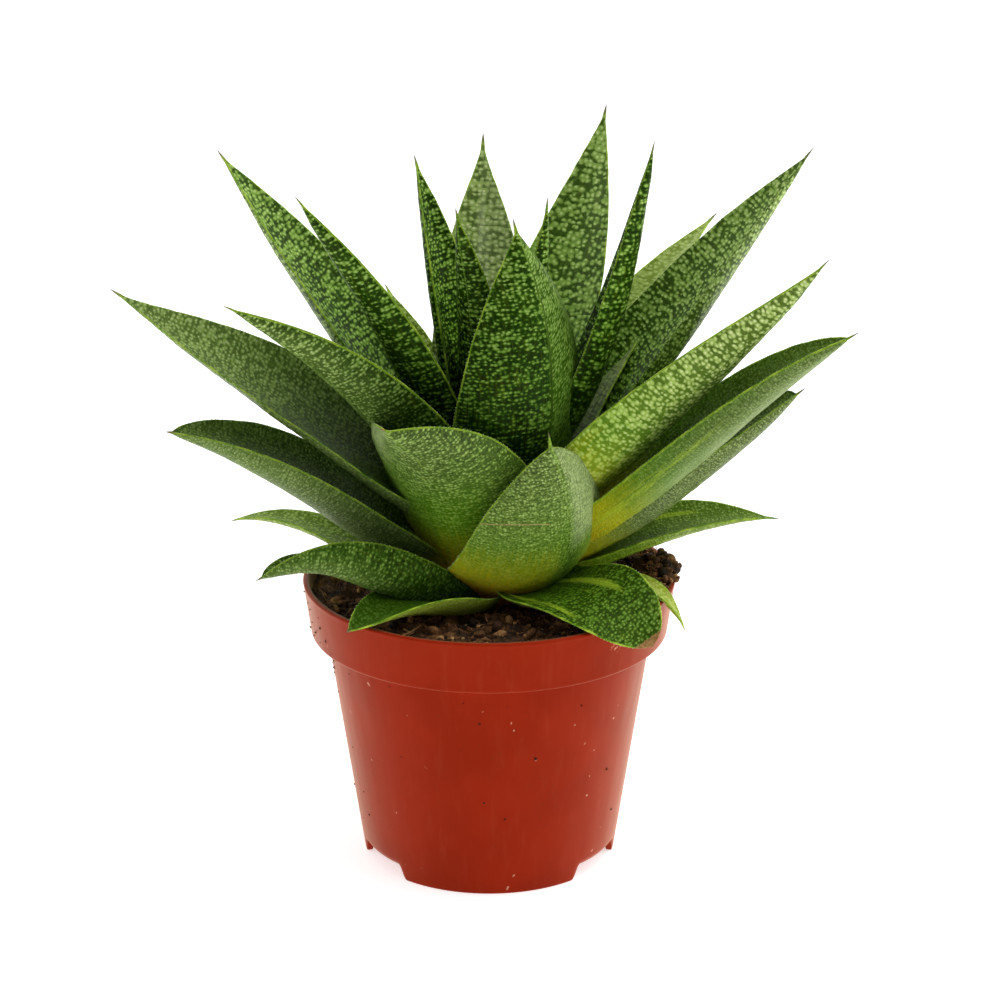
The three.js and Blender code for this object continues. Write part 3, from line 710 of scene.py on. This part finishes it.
def leaf_fields(leaf, L, look, rng, U, side, t, mm, half, margin, place, spacing, facing_down):
    """What the leaf's material reads at every point of the grid."""
    under, upper = side < 0, side >= 0
    open_air = ease(t / max(look["shade"], 0.01) - 0.4)        # 0 where other leaves shade the foot
    fade, warm = upto(t, look["fade"]), np.clip(1 - t / look["blush"], 0, 1)
    bloomed = under != (30 < L["azimuth"] < 150)      # the lower face, and the upper one at the back
    # the white bloom, partly painted sheen on the lower faces
    bloom_and_sheen = look["bloom_and_sheen"] * bloomed * (0.3 + 0.7 * fall(U, 0.35, 0.8)) * rise(t, 0.15, 0.3)
    scar, painted_shade, bloom_and_sheen, green, white, cool, fewer = own_marks(leaf, under, U, t, mm, bloom_and_sheen)
    fade = fade * (1 - 0.85 * green) * (1 - 0.7 * white)
    warm = warm * (1 - 0.8 * green) * (1 - cool)
    stripe = look["stripe"] * (band(U, 0.45, 0.12) + 0.7 * band(U, -0.75, 0.10) + 0.5 * band(U, 0.1, 0.06))
    brown = rise(t, WITHERED[leaf], 0.04) if leaf in WITHERED else 0.0
    beyond = look["beyond"] * ease((U - place) / 0.15 + 0.5) * under
    # painted sheen: faces that look down are paler and chalkier, as if lit by the bright floor
    belly_sheen = look["belly_sheen"] * facing_down
    cover = look["cover"] + beyond - 0.15 * green + 0.1 * white - fewer
    contrast = look["contrast"] * (1 - 0.7 * upto(t, look["dim"])) + fewer
    pale = (look["pale"] + look["lit"] * (side > 0) + look["glow"] * under) * open_air
    # the painted sheen and the painted highlight lighten the ground and make it chalkier
    ground = look["ground"] * open_air + beyond + 0.4 * belly_sheen + 0.22 * white - 0.15 * green
    chalk = look["chalk"] * open_air + 0.3 * beyond + 0.55 * belly_sheen + 0.3 * white - 0.5 * green
    # the pattern starts anywhere on each face, and runs finer and aslant past the keel
    shift = rng.uniform(0, 300, 4)
    finer = np.where(under & (U > place), look["finer"], 1.0)
    across = U * half - place * half
    sx = across * finer / spacing + np.where(upper, shift[0], shift[1])
    sy = (mm - (finer - 1) * 2.0 * across) * finer / spacing + np.where(upper, shift[2], shift[3])
    keel_mm = np.where(under, np.abs(U - place) * half, NO_MARK)
    return dict(
        spots=field(sx, sy, scar),
        where=field(np.where(side == 0, 0, margin) + 0.3 * (1 - look["rim"]), t, keel_mm),
        look=field(cover, contrast, warm),
        tint=field(pale, stripe * fall(t, 0.85, 0.3), brown),
        mood=field(ground, chalk * (1 - 0.5 * fade), fade),
        air=field(look["soft"], painted_shade, bloom_and_sheen),
    )


def leaf_teeth_at(L, rng, which, at, station, sections):
    """Tips and feet of the teeth at these distances up one margin (which = -1 or 1) or the keel (0)."""
    half, arc, depth, lip, place = sections(station)
    p, along, across, up = midrib(L, station)
    angle = which * arc / 2 if which else place * arc / 2
    R = half / (arc / 2)
    c, s = np.cos(angle), np.sin(angle)
    if which:
        x, y = R * s + which * lip * TOOTH_AT * c, R * (1 - c) + np.abs(s) * lip * TOOTH_AT
        out = which * c[:, None] * across + np.abs(s)[:, None] * up
        tall = rng.uniform(0.18, 0.36, len(at))
    else:
        deep = -(BELOW * depth + lip / 2)
        x, y = R * s - s * deep, R * (1 - c) + c * deep
        out = s[:, None] * across - c[:, None] * up
        tall = rng.uniform(0.10, 0.2, len(at))
    root = p + x[:, None] * across + y[:, None] * up
    flat = np.cross(out, along)
    wide = (0.55 * tall + 0.08)[:, None]
    foot = root - out * TOOTH_SINK
    back = foot - along * wide * 0.5
    feet = np.stack([foot + along * wide, back + flat * wide * 0.8, back - flat * wide * 0.8], 1)
    return root + out * tall[:, None] + along * (0.5 * tall)[:, None], feet


def make_leaf(leaf, sizes):
    L = dict(zip(KEYS, sizes))
    look = {**LOOK, **LOOKS.get(leaf, {})}
    number = leaf - 1
    rng = np.random.default_rng(100 + number)

    # stations at even steps along the midrib, a little denser towards the tip
    fine = np.linspace(0, 1, 400)
    length = np.cumsum(np.linalg.norm(np.diff(midrib(L, fine)[0], axis=0), axis=1))
    length = np.concatenate([[0], length])
    total = length[-1]
    rows = int(total / GRID)
    s = np.linspace(0, 1, rows)
    s = s + 0.06 * np.sin(pi * s) * s
    s = np.clip(s / s[-1], 0, 1)
    t = np.interp(s * total, length, fine)
    t[-1] = TIP_T
    P, _, S, N = midrib(L, t)
    sections = outline(L, look, t, s * total, total, number)
    # the keel wanders from the middle at foot and tip to its own place
    sections += (look["keel"] * ease(t / 0.3) * ease((1 - t) / 0.25),)

    # round the section: the upper face, a bead, the lower face, a bead
    upper = max(9, int(L["width"] / GRID) | 1)
    lower = max(9, int(L["width"] * 1.1 / GRID) | 1)
    one = np.ones(BEAD)
    U = np.concatenate([np.linspace(-1, 1, upper), one, np.linspace(1, -1, lower), -one])
    side = np.concatenate([np.ones(upper), 0 * one, -np.ones(lower), 0 * one])
    swing = np.zeros(len(U))                  # round the margin, from upper to lower
    swing[upper:upper + BEAD] = np.linspace(0, pi, BEAD + 2)[1:-1]
    swing[-BEAD:] = -np.linspace(pi, 0, BEAD + 2)[1:-1]
    cols = len(U)

    # from here on t and the section's sizes run down the grid, and U and side run across it
    t1, t, mm = t, t[:, None], (s * total)[:, None]
    half, arc, depth, lip, place = (v[:, None] for v in sections)
    U, side = (np.broadcast_to(v, (rows, cols)) for v in (U, side))
    under = side < 0
    W = np.where(U > place, (U - place) / (1 - place), (U - place) / (1 + place))
    round_body = 1 - np.abs(U) ** 2.2
    keel_body = 0.55 * (1 - np.abs(W) ** 1.35) + 0.45 * (1 - np.abs(W) ** 2.4)
    dist = U * half                           # mm across the blade
    margin = np.maximum(half - np.abs(dist), 0)

    # relief: slow waves, cross ridges and warts, none at the margin, the foot or the tip
    seed = np.where(under, 40, 0)
    spacing = np.where(under, look["low"], look["up"])
    relief = 0.30 * ripple(dist / 9 + seed, mm / 16 + number, 1)
    relief += 0.07 * ripple(dist / 5 + seed, mm / 1.7 + number * 3, 2)
    relief += 0.06 * np.abs(ripple(dist / spacing * 1.1 + seed, mm / spacing * 1.3 + number * 5, 3))
    relief *= ease(margin / 2.5) * ease(t / 0.2) * ease((1 - t) / 0.08)

    lift = np.where(side > 0, ABOVE * depth * round_body + lip / 2 + relief,
                    -(BELOW * depth * keel_body + lip / 2 + relief))
    lift = np.where(side == 0, lip / 2 * np.cos(swing), lift)
    out = np.where(side == 0, lip / 2 * np.abs(np.sin(swing)) * np.sign(U), 0)
    a = U * arc / 2
    R = half / (arc / 2)
    x = R * np.sin(a) - np.sin(a) * lift + out * np.cos(a)
    y = R * (1 - np.cos(a)) + np.cos(a) * lift + out * np.sin(a)
    X = P[:, None] + x[..., None] * S[:, None] + y[..., None] * N[:, None]

    # how much the lower face looks down, for its painted sheen
    way = np.cross(np.gradient(X, axis=0), np.gradient(X, axis=1))
    way /= np.linalg.norm(way, axis=-1, keepdims=True) + 1e-9
    if (way * N[:, None])[under].sum() > 0:
        way = -way
    facing_down = ease((0.15 - way[..., 2]) / 0.8) * under
    fields = leaf_fields(leaf, L, look, rng, U, side, t, mm, half, margin, place, spacing, facing_down)

    # close the foot and the tip, and turn all faces out
    points = np.vstack([X.reshape(-1, 3), P[:1], midrib(L, np.array([1.0]))[0]])
    quads = lattice(rows, cols, wrap=True)
    foot, tip = rows * cols, rows * cols + 1
    caps = np.concatenate([fan(foot, 0, cols, turned=True), fan(tip, foot - cols, cols)])
    middle = len(quads) // 2
    corner = points[quads[middle]]
    normal = np.cross(corner[1] - corner[0], corner[2] - corner[0])
    if normal @ (corner.mean(0) - P[middle // cols]) < 0:
        quads, caps = quads[:, ::-1], caps[:, ::-1]

    # teeth along both margins and the keel
    tips, feet = [], []
    for which, (start, every) in TEETH.items():
        at = np.arange(start * total, TEETH_END * total, every)
        at = at + rng.uniform(-0.25, 0.25, len(at))
        found = leaf_teeth_at(L, rng, which, at, np.interp(at, length, fine),
                              lambda station: [np.interp(station, t1, v) for v in sections])
        tips.append(found[0])
        feet.append(found[1])
    tips, feet = np.concatenate(tips), np.concatenate(feet)
    n, first = len(tips), len(points)
    points = np.vstack([points, tips, feet.reshape(-1, 3)])
    if leaf == 5:                             # it hangs over the rim of the pot without touching it
        from_rim = np.abs(np.hypot(points[:, 0], points[:, 1]) - RIM_MID)
        level = np.zeros(len(points))
        level[:side.size] = side.ravel()
        lowest = RIM_CLEAR - 3.0 * np.maximum(from_rim - 1.4, 0) + 0.3 * (level + 1)
        points[:, 2] += OVER_RIM * np.exp(-(from_rim / 8) ** 2)
        points[:, 2] = np.maximum(points[:, 2], lowest)
    tip_at = first + np.arange(n)
    foot_at = first + n + 3 * np.arange(n)
    teeth = np.concatenate([np.stack([tip_at, foot_at + q, foot_at + (q + 1) % 3], -1) for q in range(3)])
    corner = points[teeth[0]]
    if np.cross(corner[1] - corner[0], corner[2] - corner[0]) @ (corner.mean(0) - feet[0].mean(0)) < 0:
        teeth = teeth[:, ::-1]
    for key, values in fields.items():
        fields[key] = np.vstack([values, values[:1], values[-1:], np.zeros((4 * n, 3))])
    slots = np.concatenate([np.zeros(len(quads) + len(caps), int), np.ones(len(teeth), int)])
    node = f"leaf_{leaf:02d}"
    piece = shape(node + "_blade", points, [quads, caps, teeth], [leaf_skin, leaf_teeth], slots, fields)
    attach(piece, "root")
    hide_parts(node)


for leaf, sizes in LEAVES.items():
    make_leaf(leaf, sizes)

# ---- the stem

STEM_FOOT, BUD = 62.0, 18.0
BUD_AT, BUD_R = np.array([0.3, 0.6, 0.85]), [2.6, 1.9, 0.9]      # how far up the bud, and its radius there

around = circle(48)
z = np.concatenate([[STEM_FOOT], np.linspace(STEM_LOW, STEM_TOP, 30), STEM_TOP + BUD * BUD_AT])[:, None]
r = np.concatenate([[STEM_R], stem_radius(z[1:31, 0]), BUD_R])[:, None]
rings = revolve(r * (1 + 0.05 * np.sin(3 * around + z * 0.5)), z, around)
m, n = rings.shape[:2]
points = np.vstack([rings.reshape(-1, 3), [[0, 0, STEM_FOOT], [0, 0, STEM_TOP + BUD]]])
caps = np.concatenate([fan(n * m, 0, n, turned=True), fan(n * m + 1, n * (m - 1), n)])
stem = shape("stem_and_bud", points, [lattice(m, n, True), caps], [stem_skin])
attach(stem, "root")
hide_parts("stem")

# ---- the pot

POT_H, BODY_R, FOOT_R, COLLAR_H = 94.0, 52.6, 41.0, 17.5
FLOOR_LOW, FLOOR_T, FLOOR_R, BEVEL = 5.4, 1.6, 40.0, 0.15
HOLES, HOLE_R, HOLE_AT = 6, 4.0, 27.0
NOTCHES, NOTCH_H, NOTCH_LOW, NOTCH_HIGH = (90, 210, 330), 4.8, 27.0, 20.0     # width below and above
STEP, NOTCH_STEP, NOTCH_SIDE = 2.25, 0.35, (13.5, 20.2)     # round the pot, in degrees
NOTCH_TO = 6.2                  # the wall is bent up over a notch to this height
COLLAR_FOOT, COLLAR_HEAD = (57.68, 77.5), (59.86, 92.9)     # radius and height on the collar's outside
INNER_HEAD, INNER_FOOT = (58.05, 93.2), (56.15, 78.9)       # and on its inside
collar_z = POT_H - COLLAR_H


def body_r(z):
    return FOOT_R + (BODY_R - FOOT_R) * z / collar_z


def between(a, b, steps):
    return [(lerp(a[0], b[0], k), lerp(a[1], b[1], k)) for k in steps]


# radius and height along the section: up the outside from the foot, over the rim and down the inside
profile = [(39.0, 5.4), (39.0, 3.6), (39.0, 1.8), (39.0, 0.35), (39.15, 0.08), (39.4, 0.0), (40.6, 0.0),
           (40.9, 0.1), (41.04, 0.4)]
profile += [(body_r(z), z) for z in (1.0, 2.0, 3.0, 4.2, 5.4, 7.0, 12, 20, 30, 40, 50, 60, 68, 73, 75.2)]
profile += [(52.62, 75.9), (52.9, 76.3), (53.5, 76.5), (55.5, 76.5), (57.0, 76.5), (57.4, 76.62),
            (57.62, 76.95), COLLAR_FOOT]
profile += between(COLLAR_FOOT, COLLAR_HEAD, (0.2, 0.4, 0.6, 0.8, 0.95, 1.0))
profile += [(60.0, 93.3), (59.93, 93.7), (59.7, 93.93), (59.4, 94.0), (58.6, 94.0), (58.3, 93.9),
            (58.12, 93.65), INNER_HEAD]
profile += between(INNER_HEAD, INNER_FOOT, (0.25, 0.5, 0.75, 1.0))
profile += [(56.0, 78.4), (55.5, 78.15), (51.6, 78.0), (51.2, 77.7), (51.05, 77.0), (45.5, 42.0), (40.6, 7.6),
            (40.2, 7.0)]
# even steps round the pot, and finer ones at the sides of each notch
angles = set(np.round(np.arange(0, 360, STEP), 3))
for a in NOTCHES:
    for d in np.arange(*NOTCH_SIDE, NOTCH_STEP):
        angles |= {round((a + d) % 360, 3), round((a - d) % 360, 3)}
angles = np.radians(np.array(sorted(angles)))
bottom = np.zeros(len(angles))
for a in NOTCHES:
    off = np.abs((np.degrees(angles) - a + 180) % 360 - 180) * pi / 180 * FLOOR_R
    bottom = np.maximum(bottom, NOTCH_H * ease((NOTCH_LOW / 2 - off) / (NOTCH_LOW / 2 - NOTCH_HIGH / 2)))
r, z = np.array(profile).T[..., None]
# moulding: the wall is very slightly out of true
uneven = r + 0.10 * np.sin(2 * angles + 0.6) * np.clip(z / POT_H, 0, 1)
z = np.where(z < NOTCH_TO, bottom + z * (NOTCH_TO - bottom) / NOTCH_TO, z)
rings = revolve(uneven, z, angles)
rows, cols = rings.shape[:2]
j = np.arange(cols)
k = (j + 1) % cols
last = (rows - 1) * cols
seam = np.stack([last + j, last + k, k, j], -1)
quads = np.concatenate([lattice(rows, cols, True), seam])[:, ::-1]
pot = shape("pot_shell", rings.reshape(-1, 3), quads, [pot_plastic])

# the pot's floor, with its drain holes
curve = bpy.data.curves.new("floor_outline", "CURVE")
curve.dimensions, curve.fill_mode = "2D", "BOTH"
curve.extrude, curve.bevel_depth = FLOOR_T / 2 * MM, BEVEL * MM
holes = [radians(30 + 360 / HOLES * i) for i in range(HOLES)]
discs = [(0, 0, FLOOR_R, 72)] + [(HOLE_AT * cos(a), HOLE_AT * sin(a), HOLE_R, 32) for a in holes]
for cx, cy, rad, n in discs:
    spline = curve.splines.new("POLY")
    spline.points.add(n - 1)
    for point, a in zip(spline.points, (2 * pi * i / n for i in range(n))):
        point.co = ((cx + rad * cos(a)) * MM, (cy + rad * sin(a)) * MM, 0, 1)
    spline.use_cyclic_u = True
flat = bpy.data.objects.new("floor_outline", curve)
scene.collection.objects.link(flat)
bpy.context.view_layer.update()
made = bpy.data.meshes.new_from_object(flat.evaluated_get(bpy.context.evaluated_depsgraph_get()))
bpy.data.objects.remove(flat)
made.transform(Matrix.Translation((0, 0, (FLOOR_LOW + FLOOR_T / 2) * MM)))
made.materials.clear()
made.materials.append(pot_plastic)
floor_disc = bpy.data.objects.new("pot_floor", made)
scene.collection.objects.link(floor_disc)
for piece in (pot, floor_disc):
    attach(piece, "root")
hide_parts("pot")

# ---- the soil

SOIL_Z, SOIL_R = 89.6, 57.2
MOUND_X, MOUND_Y, MOUND_H, MOUND_REACH = 51.0 * cos(radians(6)), 51.0 * sin(radians(6)), 6.5, 11.0
SOIL_LOW = 7.6                  # underside of the bed, over the pot's floor
BED_SIDE = [(56.9, 86.0), (56.2, 79.2), (51.0, 78.6), (50.6, 77.5), (40.3, SOIL_LOW)]    # radius and height
INSIDE = 57.0                   # loose grains on the bed stay within this radius


def soil_height(x, y):
    r, a = np.hypot(x, y), np.arctan2(y, x)
    wave = 0.7 * np.sin(3 * a + 0.8) + 0.45 * np.sin(7 * a + r / 7)
    dx, dy = x - MOUND_X, y - MOUND_Y
    hill = MOUND_H * np.exp(-(dx * dx + dy * dy) / MOUND_REACH ** 2)
    return SOIL_Z + wave * np.clip(r / 20, 0, 1) + hill


def crumb(x, y):
    """Fine relief of the peat, in mm."""
    return (1.1 * ripple(x / 3.1, y / 3.1, 31) + 0.9 * np.abs(ripple(x / 1.5, y / 1.5, 32))
            + 0.35 * ripple(x / 0.8, y / 0.8, 33))


def pick_tone(gen, middle, spread, low=0.0, high=1.0):
    return float(np.clip(gen.normal(middle, spread), low, high))


around = circle(300)
r = np.linspace(0.6, SOIL_R, 76)[:, None]
x, y, _ = np.moveaxis(revolve(r, 0.0, around), -1, 0)
top = revolve(r, soil_height(x, y) + crumb(x, y) * lerp(0.4, 1.0, ease((SOIL_R - r) / 1.5)), around)
rings = np.concatenate([top, [revolve(r, z, around) for r, z in BED_SIDE]])
rows, n = rings.shape[:2]
points = np.vstack([rings.reshape(-1, 3), [[0, 0, SOIL_Z], [0, 0, SOIL_LOW]]])
caps = np.concatenate([fan(rows * n, 0, n), fan(rows * n + 1, (rows - 1) * n, n, turned=True)])
x, y, _ = points.T
tone = 0.30 + 0.25 * ripple(x / 4, y / 4, 41) + 0.3 * ripple(x / 1.3, y / 1.3, 42)
soil = shape("soil_bed", points, [lattice(rows, n, True)[:, ::-1], caps], [peat], fields=dict(tone=tone))
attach(soil, "root")
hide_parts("soil")

# grains, clods and fibres
rng = np.random.default_rng(7)


def ico(level):
    bm = bmesh.new()
    bmesh.ops.create_icosphere(bm, subdivisions=level, radius=1.0)
    v = np.array([p.co for p in bm.verts])
    f = np.array([[q.index for q in p.verts] for p in bm.faces])
    bm.free()
    return v, f


def bunch(name, parts, material, smooth=True):
    """One piece from many small meshes, each given as its points, its faces and its tone."""
    starts = np.cumsum([0] + [len(points) for points, _, _ in parts])
    points = np.vstack([points for points, _, _ in parts])
    faces = np.vstack([faces + start for (_, faces, _), start in zip(parts, starts)])
    fields = dict(tone=np.concatenate([np.full(len(points), tone) for points, _, tone in parts]))
    return shape(name, points, faces, [material], fields=fields, smooth=smooth)


def scatter(name, spots, material, level, seed, flat=(0.5, 1.0)):
    """Irregular grains: spots is a list of (x, y, z, size, tone)."""
    gen = np.random.default_rng(seed)
    v, f = ico(level)
    grains = []
    for i, (x, y, z, size, tone) in enumerate(spots):
        q = v * (1 + 0.30 * ripple(v[:, 0] * 1.6 + i, v[:, 1] * 1.6 + v[:, 2] * 2.1, seed + 1))[:, None]
        q = q * np.array([gen.uniform(0.75, 1.35), gen.uniform(0.6, 1.0), gen.uniform(*flat)])
        spin = np.linalg.qr(gen.normal(size=(3, 3)))[0]
        if np.linalg.det(spin) < 0:
            spin[:, 0] *= -1
        grains.append((q @ spin.T * size / 2 + (x, y, z), f, tone))
    return bunch(name, grains, material, smooth=False)


def on_soil(n, smallest, largest, sink=0.15, inner=9.0, outer=56.3):
    """Grains that rest on the bed, between two radii."""
    out = []
    while len(out) < n:
        x, y = rng.uniform(-outer, outer, 2)
        r = np.hypot(x, y)
        if not inner < r < outer:
            continue
        size = smallest * (largest / smallest) ** (rng.uniform() ** 1.6)
        if r + size / 2 > INSIDE:
            continue
        z = float(soil_height(x, y) + crumb(x, y)) + size * (0.5 - sink) * rng.uniform(0.2, 0.9)
        out.append((x, y, z, size, pick_tone(rng, 0.42, 0.22)))
    return out


grit = on_soil(1900, 0.5, 1.8)
clods = on_soil(340, 1.4, 4.0, inner=20)

# the crumbs heaped up at the right: on the bed first, then over the rim, where each touches another
HEAP, HEAP_BED, HEAP_AZIMUTH = 280, 130, 4
heap = []
while len(heap) < HEAP:
    a = radians(rng.normal(HEAP_AZIMUTH, 6.0))
    r = rng.uniform(50, 57.5) if len(heap) < HEAP_BED else rng.uniform(56, 63)
    lift = rng.uniform() ** 1.3
    top_z = 99.5 - 0.55 * max(0, r - INSIDE) - 0.28 * abs(np.degrees(a) - HEAP_AZIMUTH)
    z = lerp(91.0 if r < INSIDE else 94.6, top_z, lift)
    if z > top_z or (r > 60.8 and z < 95.2):
        continue
    size = rng.uniform(1.4, 3.4) if r < 60 else rng.uniform(1.1, 2.2)
    grain = np.array([r * cos(a), r * sin(a), z, size])
    if r > 57.5:
        others = np.array(heap)[:, :4]
        touching = 0.33 * (others[:, 3] + size)
        if not (np.linalg.norm(others[:, :3] - grain[:3], axis=1) < touching).any():
            continue
    heap.append((*grain, pick_tone(rng, 0.32, 0.24, 0, 0.8)))
pieces = [scatter("soil_grit", grit, peat, 1, 11), scatter("soil_clods", clods + heap, peat, 2, 12)]


def tube(path, wide, turns, towards):
    """Points round a path: rows along it, one column for each turn."""
    way = unit(np.gradient(path, axis=0))
    s1 = unit(np.cross(way, towards))
    s2 = np.cross(way, s1)
    return np.stack([path + wide * (cos(q) * s1 + sin(q) * s2) for q in turns], 1).reshape(-1, 3)


def strands(name, n, material, seed, steps=6, edge=56.6):
    """Root and coir fibres: thin, three-sided, bent. Every fourth lies on the heap."""
    gen = np.random.default_rng(seed)
    fibres = []
    taper = np.array([0.8, 1, 1, 0.9, 0.7, 0.3])[:, None]
    for i in range(n):
        heaped = i % 4 == 0
        if heaped:
            a, r = radians(gen.normal(4, 8)), gen.uniform(50, 60)
            z = 96.0 - 0.5 * max(0, r - 56) + gen.uniform(-2, 2)
        else:
            a, r = gen.uniform(0, 2 * pi), 56 * np.sqrt(gen.uniform(0.06, 0.98))
            z = float(soil_height(r * cos(a), r * sin(a))) + 0.7
        heading, tilt = gen.uniform(0, 2 * pi), gen.normal(0.05, 0.28)
        long, thick = gen.uniform(1.5, 4.0 if heaped else 7.0), gen.uniform(0.08, 0.2)
        p = np.array([r * cos(a), r * sin(a), z])
        path = [p]
        for _ in range(steps - 1):
            heading += gen.normal(0, 0.45)
            tilt += gen.normal(0, 0.25)
            p = p + long / steps * np.array([cos(heading) * cos(tilt), sin(heading) * cos(tilt), sin(tilt)])
            from_axis = np.hypot(p[0], p[1])
            if not heaped and from_axis > edge:
                p[:2] *= edge / from_axis
            path.append(p)
        points = tube(np.array(path), thick * taper, (0, 2 * pi / 3, 4 * pi / 3), [0.3, 0.2, 1.0])
        fibres.append((points, lattice(steps, 3, True), pick_tone(gen, 0.72, 0.2, 0.1)))
    return bunch(name, fibres, material)


pieces.append(strands("soil_fibres", 420, peat, 21))

# a spine of dry leaf sticking up in front and a forked twig by the rim: thickness, and three points
TWIGS = [(0.55, (-7.1, -23.4, 89.0), (-7.3, -23.6, 92.4), (-6.8, -24.0, 95.2)),
         (0.40, (-27.0, -44.0, 90.6), (-24.2, -42.6, 91.4), (-21.0, -40.8, 93.0)),
         (0.32, (-26.8, -41.6, 91.8), (-24.9, -42.6, 91.3), (-23.5, -43.0, 90.8))]
TWIG_STEPS, TWIG_SIDES = 9, 6


def twig(thick, *path):
    """A tapered tube through three points, thin at its far end, and dry."""
    a, b, c = (np.array(q) for q in path)
    k = np.linspace(0, 1, TWIG_STEPS)[:, None]
    line = (1 - k) ** 2 * a + 2 * k * (1 - k) * (2 * b - (a + c) / 2) + k * k * c
    points = tube(line, thick * (1.0 - 0.85 * k ** 1.5), circle(TWIG_SIDES), [0.8, 0.5, 0.1])
    return points, lattice(TWIG_STEPS, TWIG_SIDES, True), 0.95


pieces.append(bunch("dry_twigs", [twig(*row) for row in TWIGS], peat))

# a tan pebble at the left and pale bits of grit: place and size
STONES = [(10, -50, 1.6), (-8, -49, 1.3), (30, -44, 1.4), (18, -51, 1.1), (49, 12, 1.8), (44, 22, 1.5),
          (-30, 40, 2.2), (12, 50, 1.8), (-50, 16, 1.7), (2, -53, 1.2)]
tan = soil_material("pebble", PEBBLE)
pebbles = [(-49.0, -11.5, 89.0, 4.0, 0.5)]
for x, y, size in STONES:
    pebbles.append((x, y, float(soil_height(x, y)) + 0.9, size, rng.uniform(0.6, 1.0)))
pieces.append(scatter("soil_pebbles", pebbles, tan, 3, 13, flat=(0.7, 1.0)))

# crumbs stuck to the outside of the pot, half of them at the left
crumbs = []
for i in range(90):
    a = radians(rng.normal(192, 9)) if i < 46 else rng.uniform(0, 2 * pi)
    z = rng.uniform(62, 91) if i < 40 else rng.uniform(14, 90)
    if collar_z - 1 <= z < 77.6:
        continue
    up = (z - COLLAR_FOOT[1]) / (COLLAR_HEAD[1] - COLLAR_FOOT[1])
    r = 0.1 + (body_r(z) if z < collar_z - 1 else lerp(COLLAR_FOOT[0], COLLAR_HEAD[0], up))
    crumbs.append((r * cos(a), r * sin(a), z, 0.35 + 0.75 * rng.uniform() ** 2, rng.uniform(0.0, 0.35)))
pieces.append(scatter("pot_crumbs", crumbs, peat, 1, 14))
for piece in pieces:
    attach(piece, "root")

# ---- the stage

FLOOR_HALF, FLOOR_Z = 6000, -0.02
g = Graph("stage_floor")
paper = g.finish(rgb(240, 240, 240), 0.7, Specular_IOR_Level=0.1, Emission_Color=(1, 1, 1, 1),
                 Emission_Strength=GLOW)
sheet = [(FLOOR_HALF * x, FLOOR_HALF * y, FLOOR_Z) for x, y in ((-1, -1), (1, -1), (1, 1), (-1, 1))]
stage = shape("stage_floor", sheet, np.array([[0, 1, 2, 3]]), [paper])
stage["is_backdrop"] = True

# ---- the sizes

corners = lambda b: [list(map(float, c)) for c in b]
{"cad": corners(cad_box), "visual": corners(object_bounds())}
